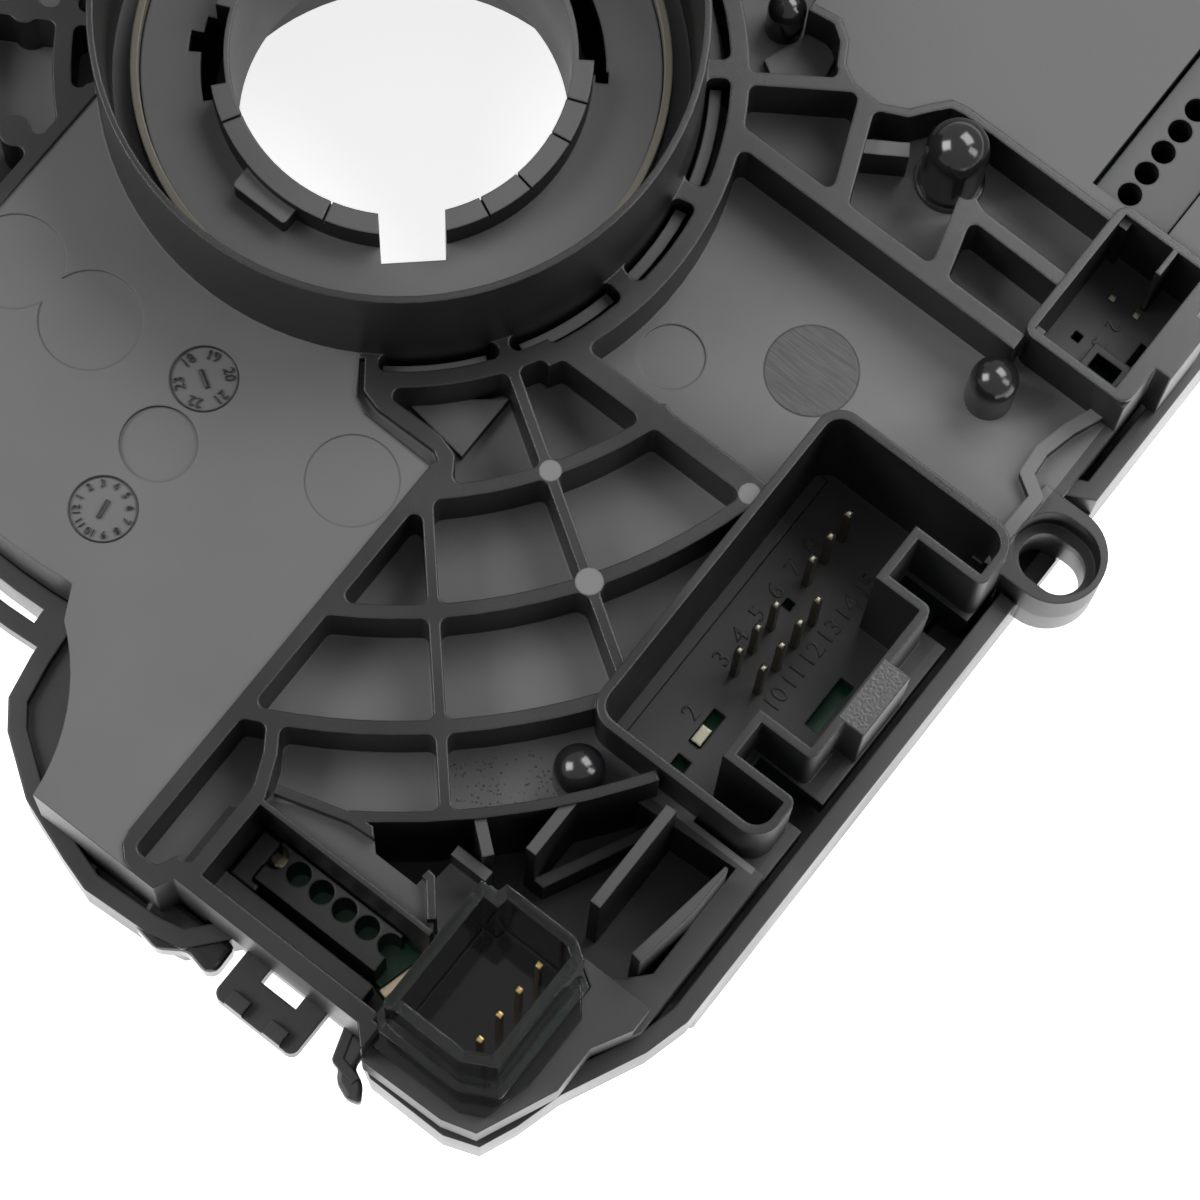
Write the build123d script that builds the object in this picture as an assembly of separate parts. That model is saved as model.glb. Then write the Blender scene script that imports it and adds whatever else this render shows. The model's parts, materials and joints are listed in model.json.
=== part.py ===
"""Steering clock spring with its angle sensor, seen from the steering column side.

The row frame is +Z towards the column side, with level 0 on the outer face of the
back cover and the origin on the axis of the column bore. Millimetres throughout.
"""
from build123d import *
from math import atan2, cos, degrees, pi, radians, sin, tan
import os

# Levels along the axis, measured from the cover's outer face
FACE = 0.0
PLATEAU_DROP = 0.25
POCKET_DEPTH = 6.4
SKIN = 1.8
COLLAR_HEIGHT = 13.2
RIM_LEVEL = -9.5
FLANGE_LEVEL = -9.0
SKIRT_LEVEL = -12.0
SHELF_LEVEL = -13.5
WAIST_LEVEL = -17.7
BOX_FRONT = -27.0
RING_FRONT = -34.0
POCKET_FLOOR = FACE - POCKET_DEPTH
SKIN_UNDER = POCKET_FLOOR - SKIN

# Plan sizes
HOUSING_R = 54.5
BODY_R = 50.6
BODY_STEP = 3.4
HOUSING_WALL = 1.6
COVER_GAP = 0.3
COVER_R = 53.0
WALL = 1.6
PLATEAU_LEFT = -18.5
PLATEAU_RIGHT = 24.0
BOX_RIGHT = 68.7
BOX_TOP = 50.0

# Rotor disc, its slide ring, and the collar round them
DISC_R = 22.2
DISC_TOP = -0.8
DISC_THICK = 1.8
SLIDE_CLEARANCE = 0.1
SLIDE_WALL = 0.7
SLIDE_TOP = 0.5
SEAT_CLEARANCE = 0.05
SEAT_LEVEL = -4.0
SEAT_LEDGE = 0.45
COLLAR_STEP = 1.65
COLLAR_STEP_LEVEL = -2.0
COLLAR_WALL = 1.2
COLLAR_DRAFT = 0.15
COLLAR_RIM_WALL = 0.6
SLIDE_R = DISC_R + SLIDE_CLEARANCE + SLIDE_WALL
SEAT_R = SLIDE_R + SEAT_CLEARANCE
COLLAR_BORE_R = SEAT_R + COLLAR_STEP
COLLAR_R_BASE = COLLAR_BORE_R + COLLAR_WALL
COLLAR_R_RIM = COLLAR_R_BASE - COLLAR_DRAFT

# Ribs: a ring outside the collar, arcs by inner radius, radial ribs by angle
RING_RIB = 1.4
RIB = 1.2
RADIAL_RIB = 1.0
CORNER_R = 0.7
RING_RIB_R = COLLAR_R_BASE + 1.5
UPPER_RING_RIB_R = COLLAR_R_BASE + 2.1
UPPER_RING_RIB = 1.6
TIE_ANGLES = (-8.0, 13.0, 37.5)
LOW_STRIP_DROP = 2.0
ARC_R = (37.4, 47.5, 57.3)
BAY_ARC_R = 64.9
BAY_ARC_RIB = 0.9
RADIAL_ANGLES = (-48.3, -32.7)
HIDDEN_RADIALS = (66.0, 90.0, 114.0, 138.0, 162.0, 186.0, 210.0)

# Rotor tube and drum
BORE_R = 14.5
HUB_WALL = 1.8
HUB_TOP = 2.6
NECK_END = -14.2
NECK_START = -9.0
FRONT_BORE_R = 18.2
DISC_WALL = 1.8
DRUM_R = 26.0
DRUM_WALL = 1.8
CABLE_FLOOR = -24.8
NOTCH_ANGLE = -48.0
NOTCH_WIDTH = 5.6
NOTCH_R = 17.5

# Angle sensor gears
MODULE = 1.0
DRIVE_TEETH = 58
SENSOR_TEETH = (20, 22)
TOOTH_PITCH = 360.0 / DRIVE_TEETH
SENSOR_STEPS = (-17, -11)
GEAR_TOP = -9.6
GEAR_WIDTH = 3.0
BACKLASH = 0.3
POST_R = 1.95
POST_CLEARANCE = 0.05
MAGNET_R = 4.2
MAGNET_THICK = 1.4

# Boards
BOARD_THICK = 1.6
BOARD_TOP = -13.4
LOWER_BOARD_TOP = -19.2

# Cassette for the flat cable
CASSETTE_PLATE_TOP = -17.6
CASSETTE_PLATE_THICK = 1.2
CASSETTE_R = 46.6
CASSETTE_WALL = 1.2
SHROUD_R = CASSETTE_R + 0.4
SHROUD_WALL = 1.8
CABLE_THICK = 0.3
CABLE_TURNS = 5

# Main connector
SHELL_WALL = 0.8
SHELL_RIM = 0.8
MAIN_FLOOR = -16.0
MAIN_LEFT = 47.0
MAIN_STEP = 48.9
MAIN_STEP_HEIGHT = 0.6
MAIN_RIGHT = 66.4
MAIN_LOW = -35.0
MAIN_HIGH = -1.0
PIN_SIDE = 0.64
PIN_PITCH = 2.54
PIN_HEIGHT = 8.0
PIN_ROW_X = 52.9
PIN_ROW_Y = -21.0

# Side connector
SIDE_LEFT = 55.6
SIDE_RIGHT = 66.4
SIDE_LOW = 13.5
SIDE_HIGH = 28.0
SIDE_FLOOR = -9.0

# Small connector with the clear housing
SMALL_LEFT = 50.0
SMALL_RIGHT = 60.4
SMALL_LOW = -64.9
SMALL_HIGH = -51.4
SMALL_RIM = 8.0
SMALL_SEAT = -4.0
SOCKET_FOOT = RIM_LEVEL + 0.2
SMALL_FLOOR = -5.0
SMALL_WALL = 1.0
SMALL_PIN_X = 57.3
SMALL_PIN_Y = -61.8

# Pin guides
GUIDE_HOLE_R = 1.05
GUIDE_HOLES = 6
GUIDE_A_PITCH = 2.42
GUIDE_A_X = 33.5
GUIDE_A_Y = -58.9
GUIDE_A_TOP = -8.0
GUIDE_B_X = 55.4
GUIDE_B_Y = 29.6
GUIDE_B_PITCH = 2.42
GUIDE_B_TOP = -1.2
GUIDE_A_WIDTH = 3.8
GUIDE_B_WIDTH = 7.3

# Mounting ears
EAR_X = 69.05
EAR_Y = 1.7
EAR_R = 4.35
EAR_TOP = -6.0
EAR_SPLIT = -10.5
EAR_UNDER = -14.5
EAR_SPACING = 126.6
EAR_RECESS_R = 3.3
EAR_RECESS_LENGTH = 7.6
SLOT_HALF_WIDTH = 2.25
SLOT_LENGTH = 6.0


def plan(*points):
    """A flat outline through the given points."""
    return Polygon(*points, align=None)


def slab(outline, low, high):
    """The outline raised from one level to another."""
    return extrude(Pos(0, 0, low) * outline, high - low, dir=(0, 0, 1))


def disc(radius, x=0.0, y=0.0):
    """A flat disc."""
    return Pos(x, y) * Circle(radius)


def ring(inner, outer):
    """A flat ring about the axis."""
    return Circle(outer) - Circle(inner)


def strip(start, end, width):
    """A straight flat strip between two points."""
    dx, dy = end[0] - start[0], end[1] - start[1]
    length = (dx * dx + dy * dy) ** 0.5
    middle = ((start[0] + end[0]) / 2, (start[1] + end[1]) / 2)
    return Pos(*middle) * Rot(0, 0, degrees(atan2(dy, dx))) * Rectangle(length, width)


def rectangle(left, low, right, high):
    """A flat rectangle between two corners."""
    return Pos((left + right) / 2, (low + high) / 2) * Rectangle(right - left, high - low)


def polar(radius, angle):
    """A point at a radius and an angle in degrees."""
    return (radius * cos(radians(angle)), radius * sin(radians(angle)))


def wedge(start, end, reach=90.0):
    """A flat sector from the axis between two angles less than 180 degrees apart."""
    middle = (start + end) / 2
    return plan((0, 0), polar(reach, start), polar(reach * 1.4, middle), polar(reach, end))


def arc_band(inner, outer, start, end):
    """A band of a ring between two angles."""
    return ring(inner, outer) & wedge(start, end)


def slot(length, half_width, x, y):
    """A round-ended slot along X."""
    run = length - 2 * half_width
    body = Pos(x, y) * Rectangle(run, 2 * half_width)
    return body + disc(half_width, x - run / 2, y) + disc(half_width, x + run / 2, y)


def spun(*profile):
    """A solid of revolution about the axis from points of radius and level."""
    face = Plane.XZ * plan(*profile)
    return revolve(face, axis=Axis.Z, revolution_arc=360)


# Plan outlines that several pieces share
def shrunk(outline, inset):
    """A flat outline moved inwards."""
    return offset(outline, -inset, kind=Kind.INTERSECTION) if inset else outline


def rounded(outline, radius):
    """A flat outline with its corners rounded off."""
    return offset(offset(outline, -radius), radius)


def path(points, width):
    """A flat strip of one width along a chain of points, with round bends."""
    band = strip(points[0], points[1], width)
    for start, end in zip(points[1:], points[2:]):
        band = band + strip(start, end, width) + disc(width / 2, *start)
    return band


def housing_plan(inset=0.0):
    """Outline of the front housing's rim: round cassette and electronics box."""
    box = plan(
        (0, -40), (5.9, -54.4), (6.3, -58.0), (7.1, -62.0), (8.9, -64.3), (13.8, -67.8), (19.5, -69.8),
        (22.5, -70.7), (29.0, -70.3), (32.0, -69.6), (35.2, -65.9), (47.8, -65.9), (49.2, -67.4),
        (51.0, -68.4), (58.6, -68.4), (61.6, -67.3), (63.0, -64.0), (64.2, -59.8), (66.0, -56.0),
        (67.6, -52.6),
        (BOX_RIGHT, -48.5), (BOX_RIGHT, -2.4), (BOX_RIGHT - 1.6, -0.4), (64.9, -0.4), (64.9, 6.6),
        (BOX_RIGHT, 8.6), (BOX_RIGHT, BOX_TOP - 3), (BOX_RIGHT - 3, BOX_TOP), (15, BOX_TOP), (0, 40),
    )
    return Circle(HOUSING_R - inset) + shrunk(box, inset)


def waist_plan(inset=0.0):
    """Outline of the front housing between its rim and the lower step."""
    box = plan(
        (0, -40), (8.5, -52.0), (11.0, -58.0), (15.0, -62.0), (22.0, -65.4), (32.0, -65.0), (35.4, -63.4),
        (47.2, -63.4), (49.4, -65.4), (58.4, -65.4), (61.6, -62.4), (63.2, -56.0), (66.4, -50.0),
        (BOX_RIGHT, -47.0), (BOX_RIGHT, BOX_TOP - 3), (BOX_RIGHT - 3, BOX_TOP), (15, BOX_TOP), (0, 40),
    )
    return Circle(BODY_R - inset) + shrunk(box, inset)


def body_plan(inset=0.0):
    """Outline of the front housing's lowest part."""
    beyond = rectangle(BOX_RIGHT - BODY_STEP - inset, -90, 90, 90)
    return waist_plan(inset) - beyond


def cover_plan(inset=0.0):
    """Outline of the back cover's skin."""
    lobe = plan(
        (0, -40), (7.2, -52.6), (8.6, -55.3), (10.0, -68.2), (28.6, -68.2), (29.4, -66.5), (48.4, -66.5),
        (50.2, -68.3), (58.2, -68.1), (61.2, -67.2), (64.2, -60.4), (64.2, -56.0), (66.4, -52.0),
        (66.4, BOX_TOP - 4), (64.4, BOX_TOP - 2), (12, BOX_TOP - 2), (0, 40),
    )
    scallop = disc(18.7 + inset, -2.6, -70.3)
    return Circle(COVER_R - inset) + (shrunk(lobe, inset) - scallop)


def skirt_plan(inset=0.0):
    """Outline of the skirt that drops inside the housing's rim."""
    return housing_plan(HOUSING_WALL + COVER_GAP + inset) & cover_plan(inset)


def left_plateau_plan(inset=0.0):
    """The smooth raised field below the collar."""
    field = plan(
        (PLATEAU_LEFT, -72), (PLATEAU_LEFT, -15), (11.0, -18.0), (13.5, -22.6), (15.4, -25.5), (16.9, -26.2),
        (PLATEAU_RIGHT, -26.3), (PLATEAU_RIGHT, -65.6), (24.3, -66.9), (25.2, -67.8), (26.4, -68.3),
        (26.4, -72),
    )
    return (shrunk(field, inset) & cover_plan(inset)) - Circle(COLLAR_BORE_R + 0.8 + inset)


def collar_rib_points():
    """Middle line of the bent rib from the collar to the left border."""
    return [(13.9, -21.4), (14.9, -23.2), (16.2, -24.3), (18.2, -24.5), (22.8, -24.4), (24.6, -24.9),
            (25.3, -26.0), (25.0, -28.0)]


def collar_ledge_plan():
    """Sunken strip between the bent rib and the left field."""
    return plan(
        (12.9, -21.6), (13.5, -22.6), (15.4, -25.5), (16.9, -26.2), (24.4, -26.3), (24.6, -25.2),
        (23.4, -24.9),
        (17.4, -25.1), (15.6, -24.5), (13.7, -22.0),
    )


def wavy_rib_points():
    """Middle line of the wavy rib that borders the upper right field."""
    return [(24.0, 26.2), (26.8, 26.6), (28.5, 25.4), (29.6, 23.5), (31.2, 22.6), (34.0, 22.5), (36.2, 23.6),
            (37.5, 25.3), (38.6, 26.6), (40.2, 26.9), (SIDE_LEFT + 0.4, 26.9)]


def right_plateau_plan(inset=0.0):
    """The smooth raised field at the upper right, beyond the wavy rib."""
    low = wavy_rib_points()
    field = plan(*low, (SIDE_LEFT + 0.4, 27.6), (70, 27.6), (70, 70), (24.0, 70))
    return (shrunk(field, inset) & cover_plan(inset)) - Circle(UPPER_RING_RIB_R + inset)


def main_cavity_plan():
    """The main connector's cavity with its two keyways and its latch wall."""
    left, right = MAIN_LEFT + SHELL_WALL, MAIN_RIGHT - SHELL_WALL
    low, high = MAIN_LOW + SHELL_WALL, MAIN_HIGH - SHELL_WALL
    latch = 64.3 - SHELL_WALL
    body = plan(
        (left, low), (right - 1.1, low), (right - 1.1, -30.2 - SHELL_WALL),
        (59.0 - SHELL_WALL, -30.2 - SHELL_WALL),
        (59.0 - SHELL_WALL, -26.8 + SHELL_WALL), (latch, -26.8 + SHELL_WALL), (latch, -10.4 - SHELL_WALL),
        (59.7 - SHELL_WALL, -10.4 - SHELL_WALL), (59.7 - SHELL_WALL, -6.4 + SHELL_WALL),
        (right, -6.4 + SHELL_WALL), (right, high), (left, high),
    )
    corners = body.vertices().filter_by(lambda v: v.Y > high - 0.1 or v.Y < low + 0.1)
    return fillet(corners, 1.6)


def main_shell_plan():
    """Outside of the main connector's wall."""
    return offset(main_cavity_plan(), SHELL_WALL, kind=Kind.ARC)


def pin_places():
    """Centres of the main connector's pins: a long row with one place empty, and a short one."""
    long_row = [(PIN_ROW_X, PIN_ROW_Y + PIN_PITCH * k) for k in (0, 1, 2, 4, 5, 6)]
    short_row = [(PIN_ROW_X + PIN_PITCH, PIN_ROW_Y + PIN_PITCH * k) for k in range(4)]
    return long_row + short_row


def small_socket_plan(grow=0.0):
    """Outline of the small connector, with its cut corner."""
    body = plan(
        (SMALL_LEFT, SMALL_LOW), (57.6, SMALL_LOW), (SMALL_RIGHT, -63.4), (SMALL_RIGHT, -52.4),
        (58.8, SMALL_HIGH), (51.8, SMALL_HIGH + 0.0), (51.6, -52.4), (SMALL_LEFT, -52.4),
    )
    return offset(body, grow, kind=Kind.INTERSECTION) if grow else body


def ear_plan(x, y, inward):
    """A rounded ear at a slotted hole, with a neck towards the housing."""
    neck = rectangle(min(x, x + inward), y - EAR_R, max(x, x + inward), y + EAR_R)
    return disc(EAR_R, x, y) + neck


def ear_places():
    """Hole centres of the two ears and the way to the housing."""
    return ((EAR_X, EAR_Y, -4.4), (EAR_X - EAR_SPACING, EAR_Y, 6.0))


def ear_slot(x, y):
    """The ear's through slot."""
    return slot(SLOT_LENGTH, SLOT_HALF_WIDTH, x, y)


def guide_a_places():
    """Hole centres of the pin guide beside the small connector."""
    return [(GUIDE_A_X + GUIDE_A_PITCH * k, GUIDE_A_Y) for k in range(GUIDE_HOLES)]


def guide_b_places():
    """Hole centres of the pin guide beside the side connector."""
    return [(GUIDE_B_X, GUIDE_B_Y + GUIDE_B_PITCH * k) for k in range(GUIDE_HOLES)]


def sensor_place(index):
    """Centre of a sensor gear, on a line through one of the drive gear's teeth."""
    centre_distance = MODULE * (DRIVE_TEETH + SENSOR_TEETH[index]) / 2
    return polar(centre_distance, SENSOR_STEPS[index] * TOOTH_PITCH)


def gear_plan(teeth, first_angle):
    """Straight-flanked gear outline with a tooth centred on first_angle."""
    pitch_r = MODULE * teeth / 2
    tip_r, root_r = pitch_r + 0.9 * MODULE, pitch_r - 1.2 * MODULE
    half = (pi * MODULE / 2 - BACKLASH) / 2
    flank = tan(radians(20))
    tip_half = degrees((half - 0.9 * MODULE * flank) / tip_r)
    root_half = degrees((half + 1.2 * MODULE * flank) / root_r)
    points = []
    for tooth in range(teeth):
        middle = first_angle + tooth * 360.0 / teeth
        points.append(polar(root_r, middle - root_half))
        points.append(polar(tip_r, middle - tip_half))
        points.append(polar(tip_r, middle + tip_half))
        points.append(polar(root_r, middle + root_half))
    return plan(*points)


# Back cover
def web_plan():
    """Ribs of the web below the collar, all level with the face."""
    ribs = [arc_band(RING_RIB_R, RING_RIB_R + RING_RIB, -58, -25)]
    ribs.append(path(collar_rib_points(), RING_RIB))
    ribs.append(collar_ledge_plan())
    ribs.append(arc_band(ARC_R[0], ARC_R[0] + RIB, -50.6, -15.4))
    ribs.append(arc_band(ARC_R[1], ARC_R[1] + RIB, -60.0, -12.5))
    ribs.append(arc_band(ARC_R[2], ARC_R[2] + RIB, -65.6, -35.0))
    ribs.append(arc_band(BAY_ARC_R, BAY_ARC_R + BAY_ARC_RIB, -55.3, -32.8))
    ribs.append(rectangle(PLATEAU_RIGHT, -67.0, PLATEAU_RIGHT + 1.3, -26.0))
    ribs.append(strip((26.6, -11.2), (MAIN_LEFT + 0.5, -11.2), 2.0))
    ribs.append(strip(polar(COLLAR_BORE_R, RADIAL_ANGLES[1]), polar(56.8, RADIAL_ANGLES[1]), RADIAL_RIB))
    ribs.append(strip(polar(38.0, RADIAL_ANGLES[0]), polar(65.2, RADIAL_ANGLES[0]), RADIAL_RIB))
    ribs.append(path([(27.4, -51.2), (29.0, -53.6), (30.2, -56.4), (30.4, -58.0)], RIB))
    ribs.append(rectangle(29.7, -66.5, 31.0, -56.6))
    ribs.append(rectangle(29.3, -66.6, 48.4, -64.9))
    ribs += [disc(0.95, *polar(38.1, RADIAL_ANGLES[1])), disc(1.2, *polar(48.2, RADIAL_ANGLES[1]))]
    ribs.append(disc(1.0, 46.4, -11.8))
    return merged(ribs)


def upper_rib_plan():
    """Ribs beside the upper right field, all level with the face."""
    ribs = [arc_band(UPPER_RING_RIB_R, UPPER_RING_RIB_R + UPPER_RING_RIB, -27, 64)]
    ribs.append(strip((26.2, 12.8), (SIDE_LEFT + 0.4, 12.8), 1.6))
    ribs.append(strip((23.4, 17.0), (31.8, 22.7), RIB))
    ribs.append(strip((36.7, 13.2), (33.0, 22.0), 1.6))
    ribs.append(strip((45.1, 20.2), (47.2, 13.0), 1.7))
    ribs.append(path([(45.1, 20.2), (46.6, 19.6), (SIDE_LEFT + 0.4, 19.4)], 1.3))
    ribs.append(path(wavy_rib_points(), 1.5))
    ribs += [strip(polar(COLLAR_BORE_R, a), polar(UPPER_RING_RIB_R + 0.5, a), 1.7) for a in TIE_ANGLES]
    return merged(ribs)


def hidden_rib_plan():
    """Ribs of the half that the photograph doesn't show."""
    ring_rib = ring(UPPER_RING_RIB_R, UPPER_RING_RIB_R + UPPER_RING_RIB)
    ribs = [ring_rib & (wedge(62, 200) + wedge(199, 240))]
    ribs.append(rectangle(PLATEAU_LEFT - RIB, -50.4, PLATEAU_LEFT, -18.0))
    for radius in ARC_R[:2]:
        ribs.append(arc_band(radius, radius + RIB, 57.0, 150.0))
        ribs.append(arc_band(radius, radius + RIB, 149.0, 246.5) - rectangle(PLATEAU_LEFT, -60, 60, 0))
    start, end = COLLAR_BORE_R, COVER_R - 0.8
    ribs += [strip(polar(start, a), polar(end, a), RIB) for a in HIDDEN_RADIALS]
    ribs += [disc(1.4, *polar(33.2, 229.0)), disc(1.4, *polar(32.4, 209.5))]
    return merged(ribs)


def merged(outlines):
    """All flat outlines joined to one."""
    field = outlines[0]
    for outline in outlines[1:]:
        field = field + outline
    return field


def open_edge_plan():
    """Where the cover's skin runs open to its edge, with no wall there."""
    return merged([
        rectangle(44, -10.2, 80, SIDE_LOW), rectangle(50, -80, 80, MAIN_LOW), rectangle(59, -40, 80, 0),
    ])


def pocket_plan():
    """All pockets between the ribs, with rounded corners."""
    field = cover_plan(WALL) + open_edge_plan()
    field = field - left_plateau_plan() - right_plateau_plan() - Circle(COLLAR_R_BASE)
    field = field - web_plan() - upper_rib_plan() - hidden_rib_plan()
    pockets = []
    for face in field.faces():
        if face.area > 2.0:
            pockets.append(rounded(face, CORNER_R))
    return pockets


def bay_plan(grow=0.0):
    """The deep bay between the outermost arc rib, the main connector and the small one."""
    reach = BAY_ARC_R + BAY_ARC_RIB
    arc = [polar(reach - grow, angle) for angle in (-34.2, -38.0, -42.0, -46.0, -50.0, -53.5)]
    low_side = ((40.8 - grow, -54.6), (45.0, -54.6), (45.4, -50.4), (61.6, -50.4))
    return plan(*arc, *low_side, (64.2, -47.6), (64.2, -36.4))


def opening_a_plan():
    """Opening over the first pin guide."""
    return rectangle(31.0, -64.9, 48.4, -57.2)


def opening_b_plan():
    """Channel over the second pin guide."""
    return rectangle(52.4, SIDE_HIGH + 0.1, 60.2, BOX_TOP - 3.6)


def make_collar():
    """Drafted tube round the rotor's disc, with the seat of the slide ring inside its foot."""
    return spun(
        (DISC_R + SEAT_LEDGE, SEAT_LEVEL - 1.2), (DISC_R + SEAT_LEDGE, SEAT_LEVEL), (SEAT_R, SEAT_LEVEL),
        (SEAT_R, COLLAR_STEP_LEVEL), (COLLAR_BORE_R, COLLAR_STEP_LEVEL),
        (COLLAR_R_RIM - COLLAR_RIM_WALL, COLLAR_HEIGHT), (COLLAR_R_RIM, COLLAR_HEIGHT), (COLLAR_R_BASE, FACE),
        (COLLAR_R_BASE, SKIN_UNDER), (COLLAR_BORE_R - 0.6, SKIN_UNDER),
    )


def make_back_cover():
    outline = cover_plan()
    cover = slab(outline, SKIN_UNDER, FACE)
    cover = cover + slab(skirt_plan() - skirt_plan(WALL), SKIRT_LEVEL, SKIN_UNDER)
    for pocket in pocket_plan():
        cover = cover - slab(pocket, POCKET_FLOOR, FACE + 1)
    for field in (left_plateau_plan, right_plateau_plan):
        cover = cover - slab(field(), FACE - PLATEAU_DROP, FACE + 1)
        cover = cover - slab(field(SKIN), SKIN_UNDER - 1, FACE - PLATEAU_DROP - SKIN)
    ledge = plan(
        (13.6, -22.7), (15.5, -25.4), (17.0, -26.1), (23.9, -26.2), (24.2, -25.6), (23.4, -25.1),
        (17.4, -25.2),
        (15.6, -24.7), (13.9, -22.4),
    )
    cover = cover - slab(ledge, FACE - 1.0, FACE + 1)

    # Low arcs between the collar and the ring rib, and raised fields on two pocket floors
    for start, end in ((-55, -36), (-29.5, -10.5), (-5.5, 10.5), (15.5, 35), (40, 58)):
        low_arc = arc_band(COLLAR_R_BASE + 0.4, COLLAR_R_BASE + 1.4, start, end)
        cover = cover + slab(low_arc, POCKET_FLOOR, FACE - LOW_STRIP_DROP)
    cover = cover + slab(plan((17.8, -22.0), (24.6, -22.9), (24.6, -16.4)), POCKET_FLOOR, POCKET_FLOOR + 1.1)
    raised = plan((22.9, 21.3), (24.8, 20.2), (28.2, 22.6), (27.6, 25.4), (24.6, 26.2))
    cover = cover + slab(raised - disc(2.1, 22.2, 25.2), POCKET_FLOOR, POCKET_FLOOR + 1.1)
    cover = cover + slab(strip((34.0, 18.4), (38.3, 21.2), 1.3), POCKET_FLOOR, FACE - 1.5)
    cover = cover - slab(Circle(COLLAR_BORE_R + 0.5), SKIRT_LEVEL, COLLAR_HEIGHT) + make_collar()

    # Openings over the pin guides
    cover = cover - slab(opening_a_plan(), SKIRT_LEVEL, FACE + 1)
    cover = cover + slab(rectangle(29.4, -64.0, 46.6, -62.4), SKIRT_LEVEL, SKIN_UNDER + 0.2)
    cover = cover + slab(rectangle(31.0, -57.4, 48.6, -56.9), SKIRT_LEVEL, FACE)
    flap = plan(
        (31.0, -57.0), (31.0, -55.4), (37.5, -53.6), (42.4, -53.2), (45.7, -53.5),
        (48.0, -56.0), (48.6, -57.0),
    )
    cover = cover + slab(flap, POCKET_FLOOR, FACE - 1.2)
    lip = path([(31.2, -55.6), (37.5, -53.7), (42.3, -53.3)], 0.8)
    lip = lip + path([(43.4, -53.3), (45.7, -53.6), (47.9, -56.2)], 0.8)
    cover = cover + slab(lip, POCKET_FLOOR, FACE)
    cover = cover - slab(opening_b_plan(), SKIRT_LEVEL, FACE + 1)

    # Deep bay with its fins, and the seat of the small connector
    bay = bay_plan()
    bay_wall = bay_plan(1.2) + offset(bay, 1.2, kind=Kind.INTERSECTION)
    cover = cover + slab(bay_wall & outline, MAIN_FLOOR - 1.2, POCKET_FLOOR)
    cover = cover - slab(bay, MAIN_FLOOR, FACE + 1)
    fins = strip((44.8, -46.4), (48.2, -49.2), 1.0) + rectangle(50.2, -46.8, 51.2, -39.0)
    fins = fins + rectangle(57.0, -47.0, 58.0, -35.4) + strip((64.4, -38.0), (62.8, -48.4), 1.0)
    cover = cover + slab(fins & bay, MAIN_FLOOR, FACE - 0.4)
    low_fin = plan((51.0, -46.8), (56.2, -36.4), (57.2, -36.4), (52.2, -46.8))
    cover = cover + slab(low_fin, MAIN_FLOOR, MAIN_FLOOR + 5)
    cover = cover + slab(rectangle(45.4, -50.6, 49.0, -49.6), MAIN_FLOOR, FACE - 3)
    seat = outline & plan((48.4, -70), (66, -70), (66, -50.4), (49.4, -50.4), (49.4, -66.5), (48.4, -66.5))
    cover = cover + slab(seat, SKIN_UNDER, SMALL_SEAT)
    cover = cover - slab(small_socket_plan(0.7), MAIN_FLOOR - 2, FACE + 1)

    # Main connector, with a flange outside its keyed wall
    beside = rectangle(59, MAIN_LOW - 0.4, 80, MAIN_HIGH)
    cover = cover - slab(beside, FLANGE_LEVEL, FACE + 1)
    cover = cover + slab(beside & outline, FLANGE_LEVEL - SKIN, FLANGE_LEVEL)
    cover = cover + slab(main_shell_plan(), MAIN_FLOOR - 1.2, SHELL_RIM)
    for low, high in ((-30.0, -27.1), (-9.9, -6.9)):
        cover = cover - slab(rectangle(59.8, low, 80, high) - main_shell_plan(), SKIRT_LEVEL - 2, FACE + 1)
    cover = cover - slab(main_cavity_plan(), MAIN_FLOOR, SHELL_RIM)
    step = rectangle(MAIN_LEFT + 0.2, MAIN_LOW + 1.6, MAIN_STEP, MAIN_HIGH - 1.6)
    cover = cover + slab(step, MAIN_FLOOR, MAIN_FLOOR + MAIN_STEP_HEIGHT)
    latch = rectangle(63.6, -22.6, 66.3, -16.2)
    cover = cover + slab(latch, POCKET_FLOOR - 4, SHELL_RIM)
    cover = cover - slab(rectangle(60.4, -20.9, 61.8, -15.7), MAIN_FLOOR - 2, MAIN_FLOOR)
    cover = cover - slab(rectangle(53.5, -28.2, 54.7, -24.6), MAIN_FLOOR - 2, MAIN_FLOOR)
    cover = cover - slab(rectangle(53.5, -31.3, 54.9, -29.6), MAIN_FLOOR - 2, MAIN_FLOOR)
    empty = Pos(PIN_ROW_X, PIN_ROW_Y + 3 * PIN_PITCH) * Rectangle(0.9, 0.9)
    cover = cover - slab(empty, MAIN_FLOOR - 2, MAIN_FLOOR)
    for x, y in pin_places():
        cover = cover - slab(Pos(x, y) * Rectangle(PIN_SIDE, PIN_SIDE), MAIN_FLOOR - 2, MAIN_FLOOR)

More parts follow.
